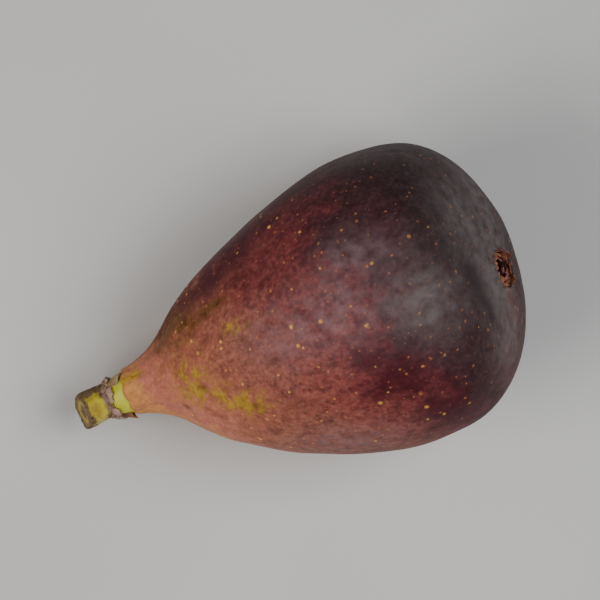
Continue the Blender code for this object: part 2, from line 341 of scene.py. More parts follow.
# A soft fold runs part of the way round the shoulder of the eye end, with a low ridge beside it.
FOLD_STATION = 60.6 * MM
FOLD_WIDTH = 0.70 * MM
FOLD_DEPTH = 0.30 * MM
FOLD_WANDER = 0.25 * MM
FOLD_WANDER_SIZE = 6 * MM
FOLD_START = (math.radians(62), math.radians(84))
FOLD_END = (math.radians(120), math.radians(142))
RIDGE_AFTER_FOLD = 2.0
RIDGE_OF_FOLD = 0.5
# Small pressed marks: station in mm, angle from +Y over the top in degrees, radius and depth in mm.
DIMPLES = (
    (14.3, 103, 0.7, 0.20),
    (9.7, 122, 0.6, 0.16),
    (22.0, 118, 0.6, 0.14),
    (32.2, 284, 0.9, 0.13),
)
# The relief fades in above the floor and past the stalk.
ABOVE_FLOOR = (0, 2.5 * MM)
PAST_STALK = (0, 2 * MM)


# %% Relief of the skin
def drawn_along(places, times):
    """The same places with the axis squeezed, so that noise read there is drawn out along it."""
    return places * np.array((1 / times, 1, 1))


relief = SWELL_HEIGHT * noise_at(places, SWELL_SIZE)
relief += RIPPLE_HEIGHT * noise_at(drawn_along(places, RIPPLE_DRAWN_OUT), RIPPLE_SIZE, 2)
folds = np.cos(NECK_FOLDS * angle + NECK_FOLD_SWAY * noise_at(places, NECK_FOLD_SWAY_SIZE, 4))
relief += NECK_FOLD_HEIGHT * folds * ease(station, *NECK_FOLDS_START) * (1 - ease(station, *NECK_FOLDS_END))
puckers = np.cos(PUCKERS * angle + PUCKER_SWAY * noise_at(places, PUCKER_SWAY_SIZE, 9))
relief += PUCKER_HEIGHT * puckers * near_eye * (1 - ease(from_eye, *PUCKERS_END))

fold_reach = ease(angle, *FOLD_START) * (1 - ease(angle, *FOLD_END))
wander = FOLD_WANDER * noise_at(places, FOLD_WANDER_SIZE, 3)
fold_place = (station - FOLD_STATION - wander) / FOLD_WIDTH
fold = hump(fold_place) * fold_reach
ridge = hump(fold_place - RIDGE_AFTER_FOLD) * fold_reach
relief += FOLD_DEPTH * (RIDGE_OF_FOLD * ridge - fold)

dimpled = np.zeros(len(places))
for dimple_station, direction, radius, depth in DIMPLES:
    pressed = stained(station, angle, away, [(dimple_station, direction, radius, radius)])
    dimpled = np.maximum(dimpled, pressed)
    relief -= depth * MM * pressed
moved = points_of(skin)
relief *= ease(moved[:, 2], *ABOVE_FLOOR) * ease(station, *PAST_STALK)
moved += normals_of(skin) * relief[:, None]
print("relief from", round(relief.min() / MM, 2), "to", round(relief.max() / MM, 2), "mm")

# %% [markdown]
# At the stalk the skin ends in a thin scalloped edge that laps over the pale band, and at the eye
# its lip is uneven. Both are pulled out along the axis, by a wave whose lobes differ in size.

# %% The skin's two edges
LAP = 0.16 * MM
LAP_LOBES = 9
LAP_LOBE_HEIGHT = 0.34 * MM
LAP_DRAWN_IN = 0.1 * MM
LAP_LENGTH = 1.6 * MM
LAP_RADII = (0.86 * SKIN_EDGE_RADIUS, 0.97 * SKIN_EDGE_RADIUS)
LIP_RADIUS = 3.35 * MM
LIP_WIDTH = 0.5 * MM
LIP_RAGGEDNESS = 0.16 * MM
LIP_TEAR_SIZE = 0.9 * MM
LIP_FRAY_SIZE = 0.4 * MM
LIP_FRAY_SHARE = 0.5
rim = (1 - ease(station, 0, LAP_LENGTH)) * ease(away, *LAP_RADII)
# Slow waves added to the angle make the lobes of the edge differ in width.
uneven_angle = LAP_LOBES * angle / 2 + 1.3 * np.sin(angle) + 0.8 * np.sin(2 * angle + 1)
lobes = np.abs(np.sin(uneven_angle))
moved -= FIG_AXES[0] * (rim * (LAP + LAP_LOBE_HEIGHT * lobes))[:, None]
outwards = np.outer(side, FIG_AXES[1]) + np.outer(up, FIG_AXES[2])
moved -= outwards * (rim * LAP_DRAWN_IN)[:, None]
lip = near_eye * hump((from_eye - LIP_RADIUS) / LIP_WIDTH)
ragged = noise_at(places, LIP_TEAR_SIZE, 5) + LIP_FRAY_SHARE * noise_at(places, LIP_FRAY_SIZE, 7)
moved += outwards * (lip * LIP_RAGGEDNESS * ragged)[:, None]
moved[:, 2] = np.maximum(moved[:, 2], 0)
put_points(skin, moved)
alone(skin)
bpy.ops.object.shade_smooth()
print("skin spans", [round(value / MM, 1) for value in np.ptp(points_of(skin), axis=0)], "mm")

# %% [markdown]
# Some marks have a place of their own, and noise alone would put them anywhere: yellow-green and
# olive patches that stayed unripe near the neck, deep wine and charcoal patches, of which those along
# the edges of the fruit are painted shade, and patches where a waxy dust still lies, pinkish on the
# body and grey at the eye end, of which those on the top and round the rim are painted highlights and
# painted sheen. Each is a soft round stain in a value that the skin's points carry, and the finish
# breaks its edge up.

# %% Places of the skin's marks
# Each patch: station in mm, angle from +Y over the top in degrees, half-length along the axis and
# half-width round it in mm.
UNRIPE_PATCHES = (
    (13.2, 100, 3.4, 3.6),
    (20.3, 116, 4.0, 2.2),
    (17.0, 108, 3.0, 2.0),
    (24.0, 74, 2.4, 1.0),
    (1.6, 61, 2.2, 0.8),
    (15.2, 205, 5.0, 3.5),
    (11.2, 280, 5.0, 4.0),
    (25.2, 262, 7.0, 6.0),
)
OLIVE_PATCHES = (
    (11.0, 44, 4.5, 2.2),
    (14.5, 58, 4.0, 2.4),
    (20.0, 58, 3.6, 1.2),
    (9.0, 12, 5.0, 3.0),
    (17.0, 330, 6.0, 4.0),
)
# Pinkish dust. The patches on the top of the body and at the lower rim are painted highlights and painted
# sheen; the others are dust.
DUST_AND_HIGHLIGHT_PATCHES = (
    (32.0, 86, 7.0, 5.0),
    (41.5, 84, 8.0, 7.0),
    (46.0, 66, 7.0, 4.0),
    (33.0, 150, 10.0, 4.5),
    (45.2, 250, 9.0, 10.0),
    (36.0, 325, 8.0, 7.0),
)
# Grey bloom. The patch on the top and those round the rim of the eye end are painted highlight and painted
# sheen; the others are bloom.
BLOOM_AND_SHEEN_PATCHES = (
    (54.5, 92, 5.4, 6.0),
    (62.5, 45, 3.2, 10.0),
    (62.5, 350, 2.6, 6.0),
    (62.5, 120, 2.6, 8.0),
    (61.0, 162, 3.2, 8.0),
    (51.2, 10, 7.0, 5.0),
    (58.0, 235, 5.0, 9.0),
    (57.2, 320, 6.0, 9.0),
)
# Deep wine patches. Those on the upper flank near the neck and at the lower rim near the eye are painted
# shade; the others are deep wine skin.
DEEP_AND_SHADE_PATCHES = (
    (46.0, 120, 5.5, 5.5),
    (49.5, 146, 5.5, 7.5),
    (43.0, 106, 3.5, 3.0),
    (37.0, 14, 10.0, 8.0),
    (28.0, 24, 9.0, 8.0),
    (20.0, 32, 7.0, 5.5),
    (12.0, 34, 6.0, 4.2),
    (50.0, 200, 8.0, 9.0),
    (40.0, 290, 8.0, 7.0),
)
# Charcoal patches. Those at the lower rim near the eye are painted shade; the others are charcoal skin.
CHARCOAL_AND_SHADE_PATCHES = (
    (55.5, 128, 5.0, 8.0),
    (55.0, 156, 5.0, 7.0),
    (49.5, 106, 4.0, 4.5),
    (54.0, 205, 6.0, 9.0),
)

# %% What each point of the skin carries
# Inside the mouth of the eye the skin is painted near black, as shade in the hollow.
EYE_MOUTH = (2.95 * MM, 3.45 * MM)
pit_shade_mask = near_eye * (1 - ease(from_eye, *EYE_MOUTH))
store(skin, "meridian", np.column_stack((side, up, station)), "FLOAT_VECTOR")
store(skin, "pit_shade", pit_shade_mask)
store(skin, "bruise", dimpled)
# The fold is painted with shade in its crease, and its ridge with a highlight.
store(skin, "fold", fold)
store(skin, "ridge", ridge)
for name, patches in (
    ("unripe", UNRIPE_PATCHES), ("olive", OLIVE_PATCHES), ("dust_and_highlight", DUST_AND_HIGHLIGHT_PATCHES),
    ("bloom_and_sheen_patch", BLOOM_AND_SHEEN_PATCHES), ("deep_and_shade", DEEP_AND_SHADE_PATCHES), ("charcoal_and_shade", CHARCOAL_AND_SHADE_PATCHES),
):
    store(skin, name, stained(station, angle, away, patches))

# %% [markdown]
# The stub is the short piece of stalk left on the fruit. It is woody, a little five-cornered and
# bumpy, and was cut aslant, with a dished and pithy cut end. It starts as a circle that is extruded
# and resized from ring to ring, as one would pull it by hand. It is drawn straight, and is then bent
# and slanted point by point, as every piece on it is.

# %% A tube pulled from ring to ring
def pulled_tube(name, outline, sides):
    """A closed tube along the axis through rings, each given by its station and radius in mm."""
    rings = [(station * MM, radius * MM) for station, radius in outline]
    station, radius = rings[0]
    bpy.ops.mesh.primitive_circle_add(
        vertices=sides, radius=radius, fill_type="NGON",
        location=(station, 0, 0), rotation=(0, math.radians(90), 0),
    )
    item = bpy.context.object
    item.name = name
    item.data.name = name
    bpy.ops.object.transform_apply(location=True, rotation=True, scale=True)
    edit_all(item)
    for next_station, next_radius in rings[1:]:
        bpy.ops.mesh.extrude_region_move(TRANSFORM_OT_translate={"value": (next_station - station, 0, 0)})
        grow = next_radius / radius
        bpy.ops.transform.resize(value=(1, grow, grow), center_override=(next_station, 0, 0))
        station, radius = next_station, next_radius
    bpy.ops.mesh.select_all(action="SELECT")
    bpy.ops.mesh.normals_make_consistent(inside=False)
    leave_edit()
    modify(item, "SUBSURF", levels=2, render_levels=2)
    return item


# %% How the stub bends and was cut
CUT_STATION = -8.9 * MM
DISH_STATION = -8.5 * MM
SLANT_END = -4.4 * MM
CUT_SLANT = math.radians(30)
STUB_RISE = 0.5 * MM
STUB_ASIDE = -0.55 * MM


def stub_centre(station):
    """Where the middle of the stub lies, aside and up."""
    share = station / CUT_STATION
    return STUB_ASIDE * share**2, STUB_RISE * share**2


def bend_with_stub(item):
    """Bends and slants a piece that was drawn straight along the axis."""
    places = points_of(item)
    slant = np.clip((SLANT_END - places[:, 0]) / (SLANT_END - DISH_STATION), 0, 1)
    aside, rise = stub_centre(places[:, 0])
    places += np.column_stack((math.tan(CUT_SLANT) * slant * places[:, 2], aside, rise))
    put_points(item, places)


# %% The stub
# From inside the cut end, out over its rim and along to the collar.
STUB_OUTLINE = (
    (-8.42, 0.30),
    (-8.44, 0.60),
    (-8.60, 0.90),
    (-8.55, 1.50),
    (-8.56, 1.95),
    (-8.80, 2.25),
    (-8.92, 2.52),
    (-8.84, 2.78),
    (-8.55, 2.96),
    (-7.90, 3.00),
    (-7.10, 2.95),
    (-6.40, 2.88),
    (-5.60, 2.83),
    (-4.90, 2.80),
    (-4.30, 2.86),
    (-3.80, 2.94),
    (-3.00, 2.96),
    (-2.40, 2.60),
)
STUB_SIDES = 40
STUB_CORNERS = 5
CORNER_HEIGHT = 0.035
CUT_FACE_RADIUS = 2.6 * MM
# Where dry bark covers the stub, as patches like those of the skin.
BARK_PATCHES = (
    (-7.6, 22, 2.4, 1.5),
    (-5.2, 18, 1.6, 1.7),
    (-4.2, 55, 0.7, 1.0),
    (-8.3, 128, 0.9, 0.9),
    (-7.9, 165, 0.9, 0.7),
    (-4.1, 150, 0.8, 1.2),
    (-6.5, 245, 2.2, 1.8),
    (-7.0, 310, 1.6, 1.2),
)
RIM_BARK_WIDTH = 0.55 * MM
CREAM_DIRECTION = math.radians(176)
CREAM_REACH = math.radians(34)
CUT_FACE_END = (CUT_FACE_RADIUS - 0.3 * MM, CUT_FACE_RADIUS)
CUT_FACE_DEPTH = DISH_STATION + 0.2 * MM
stub = pulled_tube("stub", STUB_OUTLINE, STUB_SIDES)
places = points_of(stub)
stub_radius = np.hypot(places[:, 1], places[:, 2])
stub_direction = np.arctan2(places[:, 2], places[:, 1])
on_cut = (places[:, 0] < CUT_FACE_DEPTH) * (1 - ease(stub_radius, *CUT_FACE_END))
rim_bark = hump((places[:, 0] - CUT_STATION) / RIM_BARK_WIDTH)
bark = np.maximum(rim_bark, stained(places[:, 0], stub_direction, stub_radius, BARK_PATCHES))
store(stub, "bark", bark * (1 - on_cut))
store(stub, "on_cut", on_cut)
store(stub, "across", stub_radius / CUT_FACE_RADIUS)
store(stub, "cream", hump(gap_round(stub_direction, CREAM_DIRECTION) / CREAM_REACH))
print("stub:", len(stub.data.vertices), "points, bark on", round(float((bark > 0.5).mean()), 2))

# %% The stub's corners and bumps
LUMP_SIZE = 1.6 * MM
LUMP_HEIGHT = 0.16 * MM
LUMP_DRAWN_OUT = 1.6
CHIP_SIZE = 0.45 * MM
CHIP_HEIGHT = 0.10 * MM
CHIPS_ON_FRESH_SKIN = 0.3
grow = 1 + CORNER_HEIGHT * np.cos(STUB_CORNERS * stub_direction)
cornered = places * np.column_stack((np.ones(len(places)), grow, grow))
lumps = LUMP_HEIGHT * noise_at(drawn_along(cornered, LUMP_DRAWN_OUT), LUMP_SIZE, 3)
chipped = CHIPS_ON_FRESH_SKIN + (1 - CHIPS_ON_FRESH_SKIN) * np.maximum(bark, on_cut)
lumps += CHIP_HEIGHT * noise_at(cornered, CHIP_SIZE, 6) * chipped
put_points(stub, cornered + normals_of(stub) * lumps[:, None])
bend_with_stub(stub)
settle(stub)

# %% [markdown]
# Between the collar and the skin a smooth pale green band shows, the fresh tissue of the stalk. It
# is a second pulled tube that starts under the collar and ends hidden under the skin's edge.

# %% The green band
BAND_OUTLINE = (
    (-3.00, 2.60),
    (-2.75, 2.98),
    (-2.30, 3.14),
    (-1.60, 3.27),
    (-1.00, 3.40),
    (-0.40, 3.54),
    (0.10, 3.58),
    (0.60, 3.40),
)
band = pulled_tube("green_band", BAND_OUTLINE, STUB_SIDES)
bend_with_stub(band)
settle(band)
print("band:", len(band.data.vertices), "points")

# %% [markdown]
# The collar is the scar where the bracts grew: a torn ridge, lumpy and split by crevices. A third
# tube gives the ridge. Its lumps are noise along the normals, and its crevices follow the lines
# where a second noise passes through zero, which run and branch as real cracks do.

# %% The torn collar
COLLAR = -3.05 * MM
COLLAR_OUTLINE = (
    (-4.25, 2.70),
    (-4.10, 2.92),
    (-3.86, 3.20),
    (-3.56, 3.42),
    (-3.25, 3.48),
    (-3.00, 3.38),
    (-2.82, 3.20),
    (-2.76, 3.00),
    (-2.90, 2.75),
)
COLLAR_SIDES = 60
TORN_LUMP_SIZE = 1.1 * MM
TORN_LUMP_HEIGHT = 0.34 * MM
TORN_EDGE_SIZE = 1.1 * MM
TORN_EDGE_REACH = 0.34 * MM
CREVICE_SIZE = 1.3 * MM
CREVICE_WIDTH = 0.10
CREVICE_DEPTH = 0.34 * MM
collar = pulled_tube("torn_collar", COLLAR_OUTLINE, COLLAR_SIDES)
places = points_of(collar)
crevice = hump(noise_at(places, CREVICE_SIZE, 8) / CREVICE_WIDTH)
lumps = TORN_LUMP_HEIGHT * noise_at(places, TORN_LUMP_SIZE, 1) - CREVICE_DEPTH * crevice
store(collar, "crevice", crevice)
places += normals_of(collar) * lumps[:, None]
places[:, 0] += TORN_EDGE_REACH * noise_at(places, TORN_EDGE_SIZE, 12)
put_points(collar, places)
bend_with_stub(collar)
settle(collar)
print("collar:", len(collar.data.vertices), "points, crevices on", round(float((crevice > 0.5).mean()), 2))

# %% [markdown]
# Scales, bracts and torn flakes are all one kind of thing: a thin dry blade, broad at its root,
# cupped, and ragged at its tip. One blank is shaped from a grid: each row is narrowed to the
# outline of a leaf, the middle is pushed down to cup it, and it is given thickness. Copies of it,
# each with a mesh of its own, are then set in whorls.

# %% A blank blade
BLADE_ROWS = 7
BLADE_COLUMNS = 6
ROW_REACH = 0.25 / BLADE_ROWS


def blade_width(share):
    """Half-width along a blade: full at the root, broad shoulders, a blunt ragged tip."""
    return 0.42 * (1 - share**4) ** 0.6 + 0.08


def blade_blank(name, thickness, cup, curl):
    """A blade one unit long and one wide: root at the origin, tip along +X, hollow side up."""
    bpy.ops.mesh.primitive_grid_add(
        x_subdivisions=BLADE_ROWS, y_subdivisions=BLADE_COLUMNS, size=1, location=(0.5, 0, 0),
    )
    item = bpy.context.object
    item.name = name
    bpy.ops.object.transform_apply(location=True, rotation=True, scale=True)
    alone(item)
    for row in range(BLADE_ROWS + 1):
        share = row / BLADE_ROWS
        edit_points(item, [abs(vertex.co.x - share) < ROW_REACH for vertex in item.data.vertices])
        bpy.ops.transform.resize(value=(1, 2 * blade_width(share), 1), center_override=(share, 0, 0))
        bpy.ops.transform.translate(value=(0, 0, curl * share * share))
        leave_edit()
    for vertex in item.data.vertices:
        vertex.co.z += cup * 4 * vertex.co.y**2
    store(item, "tip", points_of(item)[:, 0])
    modify(item, "SOLIDIFY", thickness=thickness, offset=0)
    x, y, z = points_of(item).T
    # Which side faces inwards, for the painted shade of the finish.
    store(item, "inside", z < curl * x * x + cup * 4 * y * y)
    modify(item, "SUBSURF", levels=1, render_levels=1)
    return item


# %% Setting blades in place
def blade_place(station, angle, radius, flare, centre=(0, 0)):
    """Where a blade roots: X runs along the axis and turns outwards by the flare, Z faces outwards."""
    out = Vector((0, math.cos(angle), math.sin(angle)))
    ahead = Vector((1, 0, 0))
    along = ahead * math.cos(flare) + out * math.sin(flare)
    up = out * math.cos(flare) - ahead * math.sin(flare)
    place = Matrix((along, up.cross(along), up)).transposed().to_4x4()
    place.translation = Vector((station, *centre)) + radius * out
    return place


def lean_with_eye(item):
    """Leans a piece that was drawn square to the axis as the eye end leans."""
    places = points_of(item)
    places[:, 0] += eye_lean(places)
    put_points(item, places)


# %% [markdown]
# No two dry blades are alike. The points of each copy are pushed about by a smooth noise, more and
# more towards the tip, where they tear. Every copy reads the noise in another place, and each also
# takes a share of the golden turn as its own number, because such shares never repeat.

# %% Ragged copies of a blade
GOLDEN_TURN = 0.618
FAR_APART = (Vector((0, 0, 0)), Vector((31.4, 5.2, 0)), Vector((0, 47.2, 8.6)))
NEXT_COPY = (7.3, 1.7, 0)
PUSH_FINENESS = 2.0
TEAR_FINENESS = 5.5
STAGGER_TURNS = 2.4


def push_at(place):
    """A push of its own for each place: one smooth noise, read in three places far apart."""
    return Vector([noise.noise(place + far) for far in FAR_APART])


def set_blades(name, blank, settings, raggedness):
    """Copies the blank to every (place, length, width) and joins the copies in one piece."""
    copies = []
    for k, (place, length, width) in enumerate(settings):
        copy = bpy.data.objects.new(f"{name}_{k}", blank.data.copy())
        bpy.context.scene.collection.objects.link(copy)
        size = Vector((length, width, (length + width) / 2))
        shift = Vector([step * k for step in NEXT_COPY])
        for vertex in copy.data.vertices:
            share = max(0.0, min(1.0, vertex.co.x))
            push = push_at(vertex.co * PUSH_FINENESS + shift)
            torn = noise.noise(vertex.co * TEAR_FINENESS + 2 * shift)
            vertex.co += push * raggedness * share
            vertex.co.x += torn * 2 * raggedness * share**3
            vertex.co = place @ (vertex.co * size)
        store(copy, "own", np.full(len(copy.data.vertices), (k * GOLDEN_TURN) % 1))
        copies.append(copy)
    alone(copies[0])
    for copy in copies[1:]:
        copy.select_set(True)
    bpy.ops.object.join()
    piece = bpy.context.object
    piece.name = name
    piece.data.name = name
    return piece


def own_number(k):
    """A number of its own for each copy, from -0.5 to 0.5."""
    return (k * GOLDEN_TURN) % 1 - 0.5


def blade_ring(count, station, stagger, radius, flare, length, width, spread, centre):
    """Blades round a circle, staggered along the axis and spread in direction, flare, length and width."""
    sway, flare_spread, length_spread, width_spread = spread
    settings = []
    for k in range(count):
        own = own_number(k)
        angle = 2 * math.pi * (k + sway * own) / count
        start = station + stagger * ((STAGGER_TURNS * own) % 1)
        place = blade_place(start, angle, radius, flare + flare_spread * own, centre)
        settings.append((place, length * (1 + length_spread * own), width * (1 + width_spread * own)))
    return settings


# %% [markdown]
# The eye is where a fig was open to the air. Scales line it in whorls. The outermost ones stand on
# the wall of the pit and reach out past its lip as a ragged, dry, rusty crown. The inner ones are
# fresher, pinkish, and lean together over the hollow, most of all on the lower side.

# %% Scales of the eye
EYE_CENTRE = (EYE_SIDE, EYE_UP)
LONGER_SIDE = math.radians(200)
# Each whorl: count, first angle in degrees, station of the roots, their radius in mm, flare in
# degrees, length and width in mm, unevenness, and how much longer its scales are on the longer side.
OUTER_WHORLS = (
    (10, 8, EYE_LIP - 0.8 * MM, 3.02, -6, 1.30, 2.0, 0.30, 0.0),
    (8, 25, EYE_LIP - 1.2 * MM, 2.80, -24, 1.50, 2.1, 0.25, 0.1),
)
INNER_WHORLS = (
    (7, 10, EYE_FLOOR + 0.5 * MM, 2.50, -34, 1.8, 1.9, 0.2, 0.35),
    (5, 31, EYE_FLOOR - 0.1 * MM, 1.80, -34, 1.7, 1.6, 0.2, 0.35),
)
# How much the scales of a whorl differ in direction and flare, and how they are rolled on their side.
WHORL_SWAY = 0.25
WHORL_FLARE_SPREAD = 0.35
ROLL = 0.12
ROLL_SPREAD = 0.3
# The part of a scale's width that follows its length.
WIDTH_FOLLOWS = 0.2


def whorl_settings(whorls):
    settings = []
    for count, first, station, radius, flare, length, width, unevenness, longer in whorls:
        for k in range(count):
            own = own_number(k)
            angle = math.radians(first) + 2 * math.pi * (k + WHORL_SWAY * own) / count
            size = 1 + unevenness * 2 * own + longer * math.cos(angle - LONGER_SIDE)
            turned_out = math.radians(flare) + WHORL_FLARE_SPREAD * own
            place = blade_place(station, angle, radius * MM, turned_out, EYE_CENTRE)
            place = place @ Matrix.Rotation(ROLL + ROLL_SPREAD * own, 4, "X")
            wide = width * MM * (1 - WIDTH_FOLLOWS + WIDTH_FOLLOWS * size)
            settings.append((place, length * MM * size, wide))
    return settings


scale_blank = blade_blank("scale_blank", thickness=0.11, cup=0.16, curl=-0.06)
outer_scales = set_blades("outer_scales", scale_blank, whorl_settings(OUTER_WHORLS), raggedness=0.16)
inner_scales = set_blades("inner_scales", scale_blank, whorl_settings(INNER_WHORLS), raggedness=0.10)
print("scales:", len(outer_scales.data.polygons), "and", len(inner_scales.data.polygons), "faces")

# %% [markdown]
# A few dry tips lie outside the mouth, folded back over the lip. They are the same blank, smaller,
# rooted just inside the lip and flared almost flat on to the skin.

# %% Tips over the lip of the eye
FRINGE_COUNT = 8
FRINGE_STATION = EYE_LIP + 0.05 * MM
FRINGE_RADIUS = 3.1 * MM
FRINGE_LENGTH = 0.5 * MM
FRINGE_WIDTH = 1.2 * MM
FRINGE_FLARE = math.radians(66)
# How much the tips differ in direction, flare, length and width.
FRINGE_SPREAD = (0.5, 0.25, 0.7, 0.5)
fringe_settings = blade_ring(
    FRINGE_COUNT, FRINGE_STATION, 0.0, FRINGE_RADIUS, FRINGE_FLARE, FRINGE_LENGTH, FRINGE_WIDTH,
    FRINGE_SPREAD, EYE_CENTRE,
)
eye_fringe = set_blades("eye_fringe", scale_blank, fringe_settings, raggedness=0.16)
for item in (outer_scales, inner_scales, eye_fringe):
    lean_with_eye(item)
    settle(item)

# %% [markdown]
# Torn flakes of the bracts lie on the collar and make its edges ragged. Three whole bracts are left:
# a grey-green one that curls up over the neck's upper side, a thin rusty one at the lower side, and
# one below.

# %% Torn flakes on the collar
FLAKE_COUNT = 16
FLAKE_STATION = COLLAR - 0.9 * MM
FLAKE_STAGGER = 0.6 * MM
FLAKE_RADIUS = 3.30 * MM
FLAKE_LENGTH = 1.0 * MM
FLAKE_WIDTH = 1.7 * MM
FLAKE_FLARE = math.radians(8)
# How much the flakes differ in direction, flare, length and width.
FLAKE_SPREAD = (0.6, 0.4, 0.7, 0.6)
flake_blank = blade_blank("flake_blank", thickness=0.16, cup=-0.30, curl=-0.05)
collar_centre = stub_centre(COLLAR)
flake_settings = blade_ring(
    FLAKE_COUNT, FLAKE_STATION, FLAKE_STAGGER, FLAKE_RADIUS, FLAKE_FLARE, FLAKE_LENGTH, FLAKE_WIDTH,
    FLAKE_SPREAD, collar_centre,
)
scar_flakes = set_blades("scar_flakes", flake_blank, flake_settings, raggedness=0.18)
settle(scar_flakes)
print("flakes:", len(scar_flakes.data.polygons), "faces")

# %% Bracts
# Each bract: name, angle in degrees, length and width in mm, flare in degrees, and how thick, cupped
# and curled its blank is.
BRACTS = (
    ("grey_bract", 42, 3.0, 1.9, 20, 0.13, -0.42, 0.06),
    ("rusty_bract", 172, 2.7, 2.4, 22, 0.08, -0.50, 0.04),
    ("lower_bract", 286, 2.3, 2.2, 24, 0.10, -0.35, 0.05),
)
BRACT_STATION = COLLAR - 0.1 * MM
BRACT_RADIUS = 3.15 * MM
bracts = []
for name, direction, length, width, flare, thickness, cup, curl in BRACTS:
    blank = blade_blank(name + "_blank", thickness, cup, curl)
    place = blade_place(
        BRACT_STATION, math.radians(direction), BRACT_RADIUS, math.radians(flare), collar_centre,
    )
    bracts.append(set_blades(name, blank, [(place, length * MM, width * MM)], raggedness=0.10))
    settle(bracts[-1])
    bpy.data.objects.remove(blank)
bpy.data.objects.remove(scale_blank)
bpy.data.objects.remove(flake_blank)
print("bracts:", [(item.name, len(item.data.polygons)) for item in bracts])

# %% [markdown]
# A finish is a small network of nodes. These helpers add a node, feed its sockets with numbers or
# with other nodes, and mix colours, so that the recipes below read as steps.


# %% Helpers for finishes
def add_node(tree, kind, settings=None, **inputs):
    """A node whose sockets, named with _ for a space, are fed with numbers, colours or outputs."""
    made = tree.nodes.new("ShaderNode" + kind)
    for name, value in (settings or {}).items():
        setattr(made, name, value)
    for name, value in inputs.items():
        feed(tree, made.inputs[name.replace("_", " ")], value)
    return made


def feed(tree, socket, value):
    if isinstance(value, bpy.types.NodeSocket):
        tree.links.new(value, socket)
    else:
        socket.default_value = value


def reckon(tree, operation, *values):
    made = tree.nodes.new("ShaderNodeMath")
    made.operation = operation
    for socket, value in zip(made.inputs, values):
        feed(tree, socket, value)
    return made.outputs[0]


def rise(tree, value, low, high, start=0.0, end=1.0):
    """Goes smoothly from start to end while the value goes from low to high."""
    made = add_node(
        tree, "MapRange", {"interpolation_type": "SMOOTHSTEP"},
        Value=value, From_Min=low, From_Max=high, To_Min=start, To_Max=end,
    )
    return made.outputs["Result"]


def mixed(tree, share, first, second, blend="MIX"):
    """A colour between two. The node names its sockets alike for each kind of value, hence numbers."""
    made = tree.nodes.new("ShaderNodeMix")
    made.data_type = "RGBA"
    made.blend_type = blend
    feed(tree, made.inputs[0], share)
    feed(tree, made.inputs[6], first)
    feed(tree, made.inputs[7], second)
    return made.outputs[2]


def ramp(tree, value, stops):
    """A colour that changes through (position, colour) stops."""
    made = tree.nodes.new("ShaderNodeValToRGB")
    made.color_ramp.interpolation = "EASE"
    elements = made.color_ramp.elements
    elements[0].position, elements[0].color = stops[0]
    elements[1].position, elements[1].color = stops[-1]
    for position, colour in stops[1:-1]:
        elements.new(position).color = colour
    feed(tree, made.inputs[0], value)
    return made.outputs[0]


def plain(red, green, blue):
    return (red, green, blue, 1.0)


def carried(tree, name, output="Fac"):
    """A value that the piece's own points carry."""
    return add_node(tree, "Attribute", {"attribute_name": name}).outputs[output]


def added(tree, value, pattern, strength):
    """A value pushed up and down by a noise pattern, whose middle is one half."""
    centred = reckon(tree, "SUBTRACT", pattern, 0.5)
    return reckon(tree, "MULTIPLY_ADD", centred, strength, value)


def vectors(tree, operation, *values):
    made = tree.nodes.new("ShaderNodeVectorMath")
    made.operation = operation
    for socket, value in zip(made.inputs, values):
        feed(tree, socket, value)
    return made.outputs[0]


# %% [markdown]
# Some effects are used again and again: soft blotches, small specks and fine grain. Each is a node
# group, built once, with named sockets for the pattern's place, its scale and its levels.


# %% Shared effects: blotches
def new_group(name, inputs, outputs):
    """A group with its tree, the sockets that it is given and the sockets that it ends in."""
    group = bpy.data.node_groups.new(name, "ShaderNodeTree")
    for socket, kind in inputs:
        group.interface.new_socket(socket, in_out="INPUT", socket_type="NodeSocket" + kind)
    for socket in outputs:
        group.interface.new_socket(socket, in_out="OUTPUT", socket_type="NodeSocketFloat")
    start = group.nodes.new("NodeGroupInput")
    end = group.nodes.new("NodeGroupOutput")
    return group, start.outputs, end.inputs


BLOTCH_ROUGHNESS = 0.58


def blotches_group():
    """A soft mask of blotches: noise of a size, cut off between two levels."""
    levels = (("Detail", "Float"), ("Low", "Float"), ("High", "Float"))
    group, given, end = new_group("Blotches", (("Place", "Vector"), ("Scale", "Float"), *levels), ("Mask",))
    pattern = add_node(
        group, "TexNoise", Vector=given["Place"], Scale=given["Scale"], Detail=given["Detail"],
        Roughness=BLOTCH_ROUGHNESS,
    )
    feed(group, end["Mask"], rise(group, pattern.outputs["Fac"], given["Low"], given["High"]))
    return group


# %% Shared effects: specks
# How much finer than the specks the waver of their outlines is, how rare large specks are, how
# small the smallest is beside the largest, and how faint some of them are.
WAVER_FINENESS = 2.6
RARITY = 2.4
SMALLEST_SPECK = 0.46
FAINTNESS = (0.0, 0.6, 0.40, 1.0)


